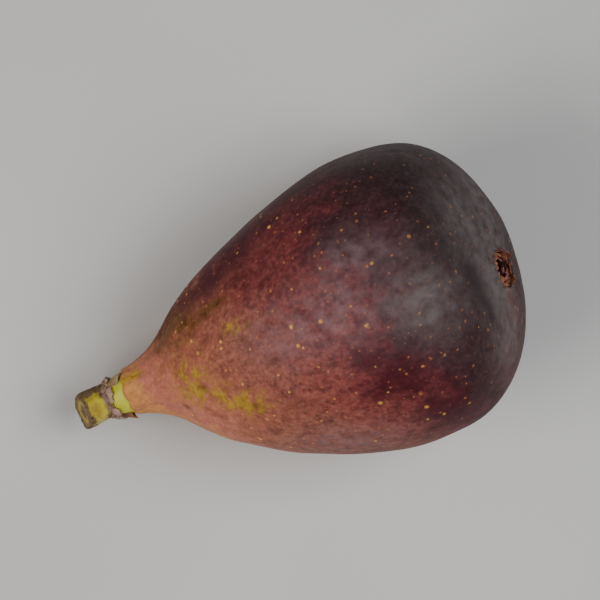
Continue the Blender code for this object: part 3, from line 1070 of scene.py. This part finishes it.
def specks_group():
    """Scattered specks of differing size and uneven outline: a mask, and a tone of its own for each."""
    sizes = (("Scale", "Float"), ("Radius", "Float"), ("Softness", "Float"), ("Wobble", "Float"))
    group, given, end = new_group("Specks", (("Place", "Vector"), *sizes), ("Mask", "Tone"))
    finer = reckon(group, "MULTIPLY", given["Scale"], WAVER_FINENESS)
    wobble = add_node(group, "TexNoise", Vector=given["Place"], Scale=finer, Detail=1.0)
    centred = vectors(group, "SUBTRACT", wobble.outputs["Color"], (0.5, 0.5, 0.5))
    place = vectors(group, "MULTIPLY_ADD", centred, given["Wobble"], given["Place"])
    cells = add_node(group, "TexVoronoi", {"feature": "F1"}, Vector=place, Scale=given["Scale"])
    tones = add_node(group, "SeparateColor", Color=cells.outputs["Color"])
    rare = reckon(group, "POWER", tones.outputs["Red"], RARITY)
    size = reckon(group, "MULTIPLY", given["Radius"], rise(group, rare, 0.0, 1.0, SMALLEST_SPECK, 1.0))
    inner = reckon(group, "SUBTRACT", size, given["Softness"])
    outer = reckon(group, "ADD", size, given["Softness"])
    mask = rise(group, cells.outputs["Distance"], inner, outer, 1.0, 0.0)
    strength = rise(group, tones.outputs["Blue"], *FAINTNESS)
    feed(group, end["Mask"], reckon(group, "MULTIPLY", mask, strength))
    feed(group, end["Tone"], tones.outputs["Green"])
    return group


# %% Shared effects: grain
COARSE_GRAIN = {"Detail": 3.0, "Roughness": 0.6}
FINE_GRAIN = {"Detail": 2.0, "Roughness": 0.5}
FINE_GRAIN_HEIGHT = 0.5
GRAIN_FINENESS = 3.0


def grain_group():
    """Height of a fine grain: a coarse and a fine noise together."""
    group, given, end = new_group("Grain", (("Place", "Vector"), ("Scale", "Float")), ("Height",))
    coarse = add_node(group, "TexNoise", Vector=given["Place"], Scale=given["Scale"], **COARSE_GRAIN)
    fine_scale = reckon(group, "MULTIPLY", given["Scale"], GRAIN_FINENESS)
    fine = add_node(group, "TexNoise", Vector=given["Place"], Scale=fine_scale, **FINE_GRAIN)
    total = reckon(group, "MULTIPLY_ADD", fine.outputs["Fac"], FINE_GRAIN_HEIGHT, coarse.outputs["Fac"])
    feed(group, end["Height"], total)
    return group


BLOTCHES = blotches_group()
SPECKS = specks_group()
GRAIN = grain_group()


# %% Using the effects
def effect(tree, group, **inputs):
    made = tree.nodes.new("ShaderNodeGroup")
    made.node_tree = group
    for name, value in inputs.items():
        feed(tree, made.inputs[name], value)
    return made


def per_metre(size):
    """The scale that gives a pattern features of this size."""
    return 1 / size


# How much of a surface its blotches cover: the levels of the noise between which they fade in.
FEW = (0.54, 0.70)
SOME = (0.48, 0.70)
MANY = (0.38, 0.66)


def blotches(tree, place, size, cover, detail=5.0):
    low, high = cover
    made = effect(tree, BLOTCHES, Place=place, Scale=per_metre(size), Detail=detail, Low=low, High=high)
    return made.outputs["Mask"]


def clouds(tree, place, size, detail=4.0, roughness=0.6):
    made = add_node(
        tree, "TexNoise", Vector=place, Scale=per_metre(size), Detail=detail, Roughness=roughness,
    )
    return made.outputs["Fac"]


def part_of(tree, mask, strength):
    return reckon(tree, "MULTIPLY", mask, strength)


def grainy(tree, shader, place, size, strength, depth, extra=None):
    """Feeds a fine grain to the shader's normal, with another height added to it if there is one."""
    height = effect(tree, GRAIN, Place=place, Scale=per_metre(size)).outputs["Height"]
    if extra is not None:
        height = reckon(tree, "ADD", height, extra)
    bump = add_node(tree, "Bump", Height=height, Strength=strength, Distance=depth)
    feed(tree, shader.inputs["Normal"], bump.outputs[0])


def new_finish(name):
    """A material with its tree, its shader, and the place on the piece that its patterns read."""
    material = bpy.data.materials.new(name)
    material.use_nodes = True
    tree = material.node_tree
    here = add_node(tree, "TexCoord").outputs["Object"]
    return material, tree, tree.nodes["Principled BSDF"], here


def surface(tree, shader, colour, roughness, shine=0.5):
    feed(tree, shader.inputs["Base Color"], colour)
    feed(tree, shader.inputs["Roughness"], roughness)
    shader.inputs["Specular IOR Level"].default_value = shine


def dress(item, material):
    item.data.materials.clear()
    item.data.materials.append(material)


# %% [markdown]
# The skin's colour follows how ripe each place is: salmon tan at the neck, brick rose, wine, then
# charcoal purple at the eye. A ramp along the fruit gives that order. Noise pushes the ramp forwards
# and back, so that the colours meet in blotches and not in rings, and the +Y side is pushed further:
# it is riper where it lay in the sun, and darker there as painted shade along that edge. Finer layers
# follow, each over the last: pale mottling, the placed patches, dark mottling and pores, the dust and
# the bloom with their painted highlights and sheen, the fold in painted shade with a painted highlight
# on its ridge, and the small corky specks. Last, the skin in the eye's mouth is painted dark as shade.

# %% Colours of the skin
SKIN_STOPS = (
    (0.00, plain(0.620, 0.270, 0.082)),
    (0.10, plain(0.525, 0.165, 0.118)),
    (0.20, plain(0.365, 0.108, 0.066)),
    (0.34, plain(0.270, 0.076, 0.052)),
    (0.48, plain(0.225, 0.048, 0.040)),
    (0.60, plain(0.165, 0.028, 0.031)),
    (0.72, plain(0.116, 0.020, 0.026)),
    (0.84, plain(0.045, 0.018, 0.022)),
    (1.00, plain(0.025, 0.016, 0.020)),
)
UNRIPE = plain(0.500, 0.310, 0.026)
UNRIPE_DARK = plain(0.310, 0.145, 0.018)
OLIVE = plain(0.085, 0.030, 0.006)
OLIVE_PALE = plain(0.200, 0.080, 0.018)
# Deep wine, also used as painted shade at the edges of the fruit.
DEEP_AND_SHADE_COLOUR = plain(0.062, 0.007, 0.013)
GOLDEN_MOTTLE = plain(0.460, 0.200, 0.070)
PALE_MOTTLE = plain(0.330, 0.130, 0.100)
DARK_MOTTLE = plain(0.034, 0.008, 0.009)
# Pinkish dust, also used as a painted highlight.
DUST_AND_HIGHLIGHT_COLOUR = plain(0.330, 0.225, 0.235)
# Grey bloom, also used as painted sheen and highlight.
BLOOM_AND_SHEEN_COLOUR = plain(0.190, 0.160, 0.158)
# Painted shade inside the eye's hollow.
PIT_SHADE_COLOUR = plain(0.035, 0.006, 0.006)
# Painted shade in the crease of the fold.
FOLD_SHADE_COLOUR = plain(0.026, 0.012, 0.015)
BRUISE_COLOUR = plain(0.110, 0.045, 0.012)
SPECK_LIGHT = plain(0.800, 0.410, 0.095)
SPECK_DARK = plain(0.520, 0.180, 0.045)

# %% Sizes of the skin's patterns
BROAD_SIZE = 13 * MM
PATCHY_SIZE = 3.4 * MM
PORE_SIZE = 0.55 * MM
# Grain: its size, strength and depth.
SKIN_GRAIN = (0.8 * MM, 0.30, 0.12 * MM)
# Blotches: their size, the levels of the noise between which they fade in, and its detail.
PALE_BLOTCHES = (0.8 * MM, (0.36, 0.74), 2.0)
DEEP_AND_SHADE_BLOTCHES = (PATCHY_SIZE, (0.14, 0.66), 4.0)
OLIVE_BLOTCHES = (1.9 * MM, (0.14, 0.74), 4.0)
UNRIPE_BLOTCHES = (1.9 * MM, (0.30, 0.72), 4.0)
SHADE_BLOTCHES = (0.9 * MM, (0.36, 0.64), 3.0)
DARK_BLOTCHES = (1.7 * MM, (0.42, 0.74), 4.0)
PEPPER_BLOTCHES = (0.9 * MM, (0.42, 0.74), 1.5)
POWDER_BLOTCHES = (2.0 * MM, (0.12, 0.84), 4.0)
STREAK_BLOTCHES = (2.2 * MM, (0.26, 0.74), 3.0)
# Specks: how many in a metre, radius and softness as a share of their spacing, and the waver.
LARGE_SPECKS = {"Scale": per_metre(2.15 * MM), "Radius": 0.15, "Softness": 0.065, "Wobble": 0.45 * MM}
SMALL_SPECKS = {"Scale": per_metre(1.4 * MM), "Radius": 0.15, "Softness": 0.080, "Wobble": 0.3 * MM}

# %% Strengths of the skin's layers
# How far the noise pushes the ramp forwards and back, and how far a charcoal patch pushes it on; the
# patches at the lower rim are painted shade.
RIPE_SWING = 0.34
CHARCOAL_AND_SHADE_RIPER = 0.14
PATCHY_NOISE = {"detail": 6.0, "roughness": 0.68}
DRAWN_OUT = 1.6
STREAK_DRAWN_OUT = 3.0
# Strengths that change with another value: between which of its levels, and from what to what. It
# is from 0 to 1 where only the levels are given.
# The +Y side is pushed riper and darker: partly the side that lay in the sun, partly painted shade along
# that edge.
SUNNY_AND_SHADED_SIDE = (0.0, 0.35, 0.034, 0.17)
MOTTLE_TURNS_PALE = (0.15, 0.5)
PALE_MOTTLING = (0.2, 0.9, 0.60, 0.12)
DARK_MOTTLING = (0.1, 0.6, 0.18, 0.56)
PEPPER_MOTTLING = (0.1, 0.6, 0.18, 0.44)
DEEP_AND_SHADE_EDGE = (0.0, 0.8, 0.0, 0.88)
OLIVE_EDGE = (0.0, 0.6, 0.0, 0.88)
UNRIPE_EDGE = (0.0, 0.5, 0.0, 0.88)
PORE_TONES = (0.28, 0.72, 0.28, 0.74)
EYE_END_BLOOM = (0.6, 1.0, 0.0, 0.06)
SPECKS_GROW = (0.04, 0.22, 0.15, 1.0)
SPECKS_FADE = (0.45, 0.9, 1.0, 0.5)
SPECKS_DARKEN = (0.3, 0.8)
PORES = 0.30
# Strengths of the dust and of the bloom, which also carry painted highlights and painted sheen.
DUST_AND_HIGHLIGHT_STRENGTH = 0.46
BLOOM_AND_SHEEN_STRENGTH = 0.85
BLOOM_STREAKS = 0.35
SMALL_SPECK_STRENGTH = 0.70
SPECK_HEIGHT = 0.5
SKIN_ROUGHNESS = 0.48
BLOOM_ROUGHER = 0.15
PATCHES_ROUGHER = 0.10
SKIN_SHINE = 0.10
# Marks that the skin's points carry: name, strength and colour, in the order in which they lie. The ridge
# beside the fold gets a painted highlight, the fold painted shade in its crease, and the bruise its own
# colour.
CARRIED_MARKS = (("ridge", 0.35, BLOOM_AND_SHEEN_COLOUR), ("fold", 0.60, FOLD_SHADE_COLOUR), ("bruise", 0.80, BRUISE_COLOUR))


# %% Ripeness, mottles and placed patches
def drawn_out_place(tree, here, times):
    """The place in the fig's own directions, its axis squeezed, so that patterns run along it."""
    squeezed = {"Rotation": (0.0, -SLOPE, 0.0), "Scale": (times, 1.0, 1.0)}
    return add_node(tree, "Mapping", {"vector_type": "TEXTURE"}, Vector=here, **squeezed).outputs[0]


def ripeness(tree, here, share, side, patchy):
    """Where each place lies on the ramp of colours."""
    ripe = added(tree, share, clouds(tree, here, BROAD_SIZE, detail=2.0), RIPE_SWING)
    ripe = added(tree, ripe, patchy, RIPE_SWING)
    # The +Y side and the charcoal patches push the ramp on: partly riper skin, partly painted shade at the
    # edges.
    ripe = reckon(tree, "MULTIPLY_ADD", side, rise(tree, share, *SUNNY_AND_SHADED_SIDE), ripe)
    return reckon(tree, "MULTIPLY_ADD", carried(tree, "charcoal_and_shade"), CHARCOAL_AND_SHADE_RIPER, ripe)


def with_patches(tree, here, drawn_out, colour):
    """Lays the placed patches, each broken up by blotches of its own."""
    shade = blotches(tree, here, *SHADE_BLOTCHES)
    olive = mixed(tree, shade, OLIVE, OLIVE_PALE)
    unripe = mixed(tree, shade, UNRIPE_DARK, UNRIPE)
    # The deep patches are partly painted shade at the edges of the fruit.
    for name, pattern, edge, patch_colour in (
        ("deep_and_shade", blotches(tree, here, *DEEP_AND_SHADE_BLOTCHES), DEEP_AND_SHADE_EDGE, DEEP_AND_SHADE_COLOUR),
        ("olive", blotches(tree, drawn_out, *OLIVE_BLOTCHES), OLIVE_EDGE, olive),
        ("unripe", blotches(tree, here, *UNRIPE_BLOTCHES), UNRIPE_EDGE, unripe),
    ):
        patches = part_of(tree, carried(tree, name), pattern)
        colour = mixed(tree, rise(tree, patches, *edge), colour, patch_colour)
    return colour


def with_dark_mottles(tree, here, drawn_out, share, colour):
    for place, sizes, strength in (
        (drawn_out, DARK_BLOTCHES, DARK_MOTTLING), (here, PEPPER_BLOTCHES, PEPPER_MOTTLING),
    ):
        mottles = part_of(tree, blotches(tree, place, *sizes), rise(tree, share, *strength))
        colour = mixed(tree, mottles, colour, DARK_MOTTLE)
    pores = rise(tree, clouds(tree, here, PORE_SIZE, detail=2.0), *PORE_TONES)
    return mixed(tree, PORES, colour, pores, "OVERLAY")


# %% Dust, bloom and specks
def with_dust_bloom_and_sheen(tree, here, share, colour):
    """Lays the pinkish dust and the grey bloom, both partly painted highlight and sheen, and also gives how
    thick the bloom and sheen are.
    """
    powder = blotches(tree, here, *POWDER_BLOTCHES)
    dust_and_highlight = part_of(tree, powder, carried(tree, "dust_and_highlight"))
    colour = mixed(tree, part_of(tree, dust_and_highlight, DUST_AND_HIGHLIGHT_STRENGTH), colour, DUST_AND_HIGHLIGHT_COLOUR)
    streak = blotches(tree, drawn_out_place(tree, here, STREAK_DRAWN_OUT), *STREAK_BLOTCHES)
    powdery = part_of(tree, powder, 1 - BLOOM_STREAKS)
    pattern = reckon(tree, "MULTIPLY_ADD", streak, BLOOM_STREAKS, powdery)
    spread = rise(tree, share, *EYE_END_BLOOM)
    bloom_and_sheen = reckon(tree, "MULTIPLY_ADD", carried(tree, "bloom_and_sheen_patch"), BLOOM_AND_SHEEN_STRENGTH, spread)
    bloom_and_sheen = part_of(tree, bloom_and_sheen, pattern)
    return mixed(tree, bloom_and_sheen, colour, BLOOM_AND_SHEEN_COLOUR), bloom_and_sheen


def with_specks(tree, here, share, colour):
    """Lays the small and the large specks, and also gives where the large ones are."""
    large = effect(tree, SPECKS, Place=here, **LARGE_SPECKS)
    small = effect(tree, SPECKS, Place=here, **SMALL_SPECKS)
    grown = rise(tree, share, *SPECKS_GROW)
    faint = part_of(tree, part_of(tree, small.outputs["Mask"], grown), SMALL_SPECK_STRENGTH)
    bold = part_of(tree, large.outputs["Mask"], part_of(tree, grown, rise(tree, share, *SPECKS_FADE)))
    colour = mixed(tree, faint, colour, SPECK_DARK)
    darkened = mixed(tree, rise(tree, share, *SPECKS_DARKEN), SPECK_LIGHT, SPECK_DARK)
    speck = mixed(tree, large.outputs["Tone"], darkened, SPECK_LIGHT)
    return mixed(tree, bold, colour, speck), bold


# %% Finish of the skin
def skin_finish():
    material, tree, shader, here = new_finish("fig_skin")
    side, _, along = add_node(tree, "SeparateXYZ", Vector=carried(tree, "meridian", "Vector")).outputs
    share = reckon(tree, "DIVIDE", along, FRUIT_LENGTH)
    drawn_out = drawn_out_place(tree, here, DRAWN_OUT)
    patchy = clouds(tree, drawn_out, PATCHY_SIZE, **PATCHY_NOISE)
    ripe = ripeness(tree, here, share, side, patchy)
    colour = ramp(tree, ripe, SKIN_STOPS)
    pale = part_of(tree, blotches(tree, here, *PALE_BLOTCHES), rise(tree, ripe, *PALE_MOTTLING))
    mottle = mixed(tree, rise(tree, share, *MOTTLE_TURNS_PALE), GOLDEN_MOTTLE, PALE_MOTTLE)
    colour = mixed(tree, pale, colour, mottle)
    colour = with_patches(tree, here, drawn_out, colour)
    colour = with_dark_mottles(tree, here, drawn_out, share, colour)
    colour, bloom_and_sheen = with_dust_bloom_and_sheen(tree, here, share, colour)
    for name, strength, mark in CARRIED_MARKS:
        colour = mixed(tree, part_of(tree, carried(tree, name), strength), colour, mark)
    colour, specks = with_specks(tree, here, share, colour)
    # Painted shade inside the eye's mouth.
    colour = mixed(tree, carried(tree, "pit_shade"), colour, PIT_SHADE_COLOUR)
    rough = reckon(tree, "MULTIPLY_ADD", bloom_and_sheen, BLOOM_ROUGHER, SKIN_ROUGHNESS)
    rough = reckon(tree, "MULTIPLY_ADD", patchy, PATCHES_ROUGHER, rough)
    surface(tree, shader, colour, rough, SKIN_SHINE)
    grainy(tree, shader, drawn_out, *SKIN_GRAIN, extra=part_of(tree, specks, SPECK_HEIGHT))
    return material


dress(skin, skin_finish())
print("skin finish:", len(skin.data.materials[0].node_tree.nodes), "nodes")

# %% [markdown]
# The stub is bright yellow where its skin is fresh, cream along one side, and grey-brown where bark
# has dried on it, in the patches that its points carry. The cut face shows its layers from the
# middle outwards: dark dished pith, a yellow ring, a dark rim. The collar is a pinkish grey scar
# with painted shade in its crevices.

# %% Colours of the stalk
STUB_FRESH = plain(0.52, 0.420, 0.024)
STUB_MUSTARD = plain(0.33, 0.220, 0.020)
STUB_CREAM = plain(0.56, 0.48, 0.23)
BARK = plain(0.120, 0.070, 0.028)
BARK_DARK = plain(0.024, 0.015, 0.009)
BARK_PALE = plain(0.240, 0.155, 0.080)
SCAR = plain(0.43, 0.250, 0.190)
SCAR_GREY = plain(0.200, 0.116, 0.084)
BAND_FRESH = plain(0.50, 0.470, 0.034)
BAND_PALE = plain(0.57, 0.545, 0.040)
CUT_STOPS = (
    (0.00, plain(0.100, 0.058, 0.020)),
    (0.30, plain(0.130, 0.078, 0.024)),
    (0.46, plain(0.250, 0.160, 0.036)),
    (0.66, plain(0.380, 0.270, 0.045)),
    (0.82, plain(0.200, 0.130, 0.036)),
    (0.95, plain(0.040, 0.027, 0.016)),
)

# %% Finish of the stub, the band and the collar
STUB_TONE_SIZE = 2.2 * MM
BARK_EDGE_SIZE = 1.0 * MM
CRACK_SIZE = 0.7 * MM
CREAM_STRENGTH = 0.8
COLLAR_BARK = 0.85
BARK_EDGE_NOISE = {"detail": 6.0, "roughness": 0.78}
BARK_EDGE_SWING = 1.5
LAYER_SWING = 0.30
# Strengths that change with another value: between which of its levels, and from what to what. It
# is from 0 to 1 where only the levels are given.
BARK_STAIN = (0.10, 0.50, 0.0, 0.5)
BARK_COVER = (0.36, 0.60)
CRACKED = (0.0, 0.7, 0.12, 0.95)
STUB_ROUGHNESS = (0.2, 0.7, 0.48, 0.85)
BAND_ROUGHNESS = (0.0, 1.0, 0.36, 0.5)
# Painted shade in the collar's crevices.
CREVICE_SHADE = (0.35, 0.9, 0.0, 0.95)
COLLAR_ROUGHNESS = (0.0, 1.0, 0.65, 0.9)
STALK_SHINE = 0.25
# Grain: its size, strength and depth.
BARK_GRAIN = (0.6 * MM, 0.6, 0.2 * MM)
BAND_GRAIN = (2.2 * MM, 0.2, 0.1 * MM)
COLLAR_GRAIN = (0.7 * MM, 0.6, 0.2 * MM)


def stub_finish():
    material, tree, shader, here = new_finish("stalk_bark")
    colour = mixed(tree, blotches(tree, here, STUB_TONE_SIZE, MANY), STUB_MUSTARD, STUB_FRESH)
    colour = mixed(tree, part_of(tree, carried(tree, "cream"), CREAM_STRENGTH), colour, STUB_CREAM)
    edge = clouds(tree, here, BARK_EDGE_SIZE, **BARK_EDGE_NOISE)
    barky = added(tree, carried(tree, "bark"), edge, BARK_EDGE_SWING)
    bark = mixed(tree, blotches(tree, here, CRACK_SIZE, MANY), BARK, BARK_PALE)
    colour = mixed(tree, rise(tree, barky, *BARK_STAIN), colour, BARK)
    colour = mixed(tree, rise(tree, barky, *BARK_COVER), colour, bark)
    cracks = part_of(tree, blotches(tree, here, CRACK_SIZE, SOME), rise(tree, barky, *CRACKED))
    colour = mixed(tree, cracks, colour, BARK_DARK)
    layers = ramp(tree, added(tree, carried(tree, "across"), edge, LAYER_SWING), CUT_STOPS)
    colour = mixed(tree, carried(tree, "on_cut"), colour, layers)
    surface(tree, shader, colour, rise(tree, barky, *STUB_ROUGHNESS), STALK_SHINE)
    grainy(tree, shader, here, *BARK_GRAIN)
    return material


def band_finish():
    material, tree, shader, here = new_finish("green_band")
    pale = blotches(tree, here, STUB_TONE_SIZE, MANY, detail=2.0)
    colour = mixed(tree, pale, BAND_FRESH, BAND_PALE)
    surface(tree, shader, colour, rise(tree, pale, *BAND_ROUGHNESS), STALK_SHINE)
    grainy(tree, shader, here, *BAND_GRAIN)
    return material


def collar_finish():
    material, tree, shader, here = new_finish("torn_collar")
    colour = mixed(tree, blotches(tree, here, BARK_EDGE_SIZE, MANY), SCAR_GREY, SCAR)
    barky = part_of(tree, blotches(tree, here, CRACK_SIZE, MANY), COLLAR_BARK)
    colour = mixed(tree, barky, colour, BARK)
    # Painted shade in the crevices.
    crevice_shade = rise(tree, carried(tree, "crevice"), *CREVICE_SHADE)
    colour = mixed(tree, crevice_shade, colour, BARK_DARK)
    surface(tree, shader, colour, rise(tree, crevice_shade, *COLLAR_ROUGHNESS))
    grainy(tree, shader, here, *COLLAR_GRAIN)
    return material


dress(stub, stub_finish())
dress(band, band_finish())
dress(collar, collar_finish())
print("stalk dressed in", [item.data.materials[0].name for item in (stub, band, collar)])

# %% [markdown]
# Dry blades change from root to tip, and no two are the same tone. Their points carry both values,
# so one recipe serves them all, with its own colours each time. The side of a blade that faces inwards
# is painted darker, as shade.

# %% Finish of the dry blades
BLADE_TONE_SIZE = 0.7 * MM
BLADE_GRAIN = (0.7 * MM, 0.5, 0.15 * MM)
TIP_SWING = 0.9
OWN_SWING = 0.4
TIP_TURNS = (0.1, 0.8)
BLADE_STAINS = 0.6
# Painted shade on the side of a blade that faces inwards.
INSIDE_SHADE = 0.65
BLADE_ROUGHNESS = (0.3, 0.7, 0.5, 0.75)


def blade_finish(name, root_colour, tip_colour, dark_colour):
    material, tree, shader, here = new_finish(name)
    pattern = clouds(tree, here, BLADE_TONE_SIZE)
    reach = added(tree, carried(tree, "tip"), pattern, TIP_SWING)
    reach = added(tree, reach, carried(tree, "own"), OWN_SWING)
    colour = mixed(tree, rise(tree, reach, *TIP_TURNS), root_colour, tip_colour)
    stains = blotches(tree, here, BLADE_TONE_SIZE, FEW)
    colour = mixed(tree, part_of(tree, stains, BLADE_STAINS), colour, dark_colour)
    # Painted shade on the inward side.
    colour = mixed(tree, part_of(tree, carried(tree, "inside"), INSIDE_SHADE), colour, dark_colour)
    surface(tree, shader, colour, rise(tree, pattern, *BLADE_ROUGHNESS))
    grainy(tree, shader, here, *BLADE_GRAIN)
    return material


RUST = plain(0.36, 0.125, 0.052)
RUST_DARK = plain(0.080, 0.019, 0.011)
MAROON = plain(0.13, 0.026, 0.022)
PINK = plain(0.33, 0.115, 0.115)
PINK_DARK = plain(0.07, 0.014, 0.014)
BRACT_BROWN = plain(0.180, 0.105, 0.030)
BRACT_GREY = plain(0.30, 0.22, 0.100)
AMBER_DARK = plain(0.090, 0.026, 0.008)
AMBER = plain(0.26, 0.090, 0.018)
rusty = blade_finish("rusty_scale", MAROON, RUST, RUST_DARK)
pinkish = blade_finish("pink_scale", MAROON, PINK, PINK_DARK)
papery = blade_finish("scar_flake", SCAR_GREY, SCAR, BARK_DARK)
grey = blade_finish("grey_bract", BRACT_BROWN, BRACT_GREY, BARK_DARK)
amber = blade_finish("rusty_bract", AMBER_DARK, AMBER, RUST_DARK)
dress(outer_scales, rusty)
dress(eye_fringe, rusty)
dress(inner_scales, pinkish)
dress(scar_flakes, papery)
for item, material in zip(bracts, (grey, amber, grey)):
    dress(item, material)
print("dry blades dressed in", [material.name for material in (rusty, pinkish, papery, grey, amber)])

# %% [markdown]
# The room is plain: a pale floor, a large soft light at either side, as in a photo studio, and a
# dim sky that fills the shadows. The camera looks straight down.

# %% Floor
FLOOR_SIZE = 1.6
FLOOR_TONE_SIZE = 80 * MM
FLOOR_TONES = (plain(0.60, 0.59, 0.575), plain(0.63, 0.62, 0.605))
FLOOR_ROUGHNESS = 0.7
bpy.ops.mesh.primitive_plane_add(size=FLOOR_SIZE, location=(0, 0, 0))
floor = bpy.context.object
floor.name = "floor"
floor_finish, floor_tree, floor_shader, floor_place = new_finish("pale_floor")
floor_tone = blotches(floor_tree, floor_place, FLOOR_TONE_SIZE, MANY, detail=2.0)
surface(floor_tree, floor_shader, mixed(floor_tree, floor_tone, *FLOOR_TONES), FLOOR_ROUGHNESS)
dress(floor, floor_finish)

# %% Lights
# The middle of the picture, and how far the picture is turned against the part's X.
LOOK_AT = Vector((2.55 * MM, 4.77 * MM, 20.86 * MM))
PICTURE_TURN = math.radians(-20.8)
LIGHT_DISTANCE = 0.75
LIGHT_WIDTH = 0.45
LIGHT_POWER = 4.2
# Each light: name, direction in the picture from its right towards its top, and elevation, both in
# degrees, and colour.
LIGHTS = (
    ("left_light", 205, 40, (1.0, 0.97, 0.94)),
    ("right_light", 4, 58, (0.96, 0.98, 1.0)),
)
SKY_COLOUR = plain(0.86, 0.88, 0.90)
SKY_STRENGTH = 0.06
for name, direction, elevation, colour in LIGHTS:
    heading = math.radians(direction) + PICTURE_TURN
    height = math.radians(elevation)
    out = Vector((
        math.cos(heading) * math.cos(height),
        math.sin(heading) * math.cos(height),
        math.sin(height),
    ))
    lamp = bpy.data.lights.new(name, "AREA")
    lamp.shape = "SQUARE"
    lamp.size = LIGHT_WIDTH
    lamp.energy = LIGHT_POWER
    lamp.color = colour
    holder = bpy.data.objects.new(name, lamp)
    holder.location = LOOK_AT + LIGHT_DISTANCE * out
    holder.rotation_euler = out.to_track_quat("Z", "Y").to_euler()
    bpy.context.scene.collection.objects.link(holder)

sky = bpy.data.worlds.new("dim_sky")
sky.use_nodes = True
sky_light = sky.node_tree.nodes["Background"]
sky_light.inputs["Color"].default_value = SKY_COLOUR
sky_light.inputs["Strength"].default_value = SKY_STRENGTH
bpy.context.scene.world = sky
print("lights:", [name for name, *_ in LIGHTS], "and a sky of strength", SKY_STRENGTH)

# %% Camera
PICTURE_WIDTH = 93.9 * MM
CAMERA_DISTANCE = 0.8
SENSOR_WIDTH = 36.0
camera_data = bpy.data.cameras.new("camera")
camera_data.sensor_width = SENSOR_WIDTH
camera_data.lens = SENSOR_WIDTH * CAMERA_DISTANCE / PICTURE_WIDTH
camera = bpy.data.objects.new("camera", camera_data)
camera.location = LOOK_AT + Vector((0, 0, CAMERA_DISTANCE))
camera.rotation_euler = (0, 0, PICTURE_TURN)
bpy.context.scene.collection.objects.link(camera)
bpy.context.scene.camera = camera
print("camera lens", round(camera_data.lens), "mm")

# %% [markdown]
# Last, every piece is told which body it rides on, and the solids of the part are hidden.

# %% Attach the pieces and hide the solids
for item in (skin, stub, band, collar, outer_scales, inner_scales, eye_fringe, scar_flakes, *bracts):
    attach(item, "root")
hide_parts("fruit")
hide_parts("eye_scales")
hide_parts("stalk")
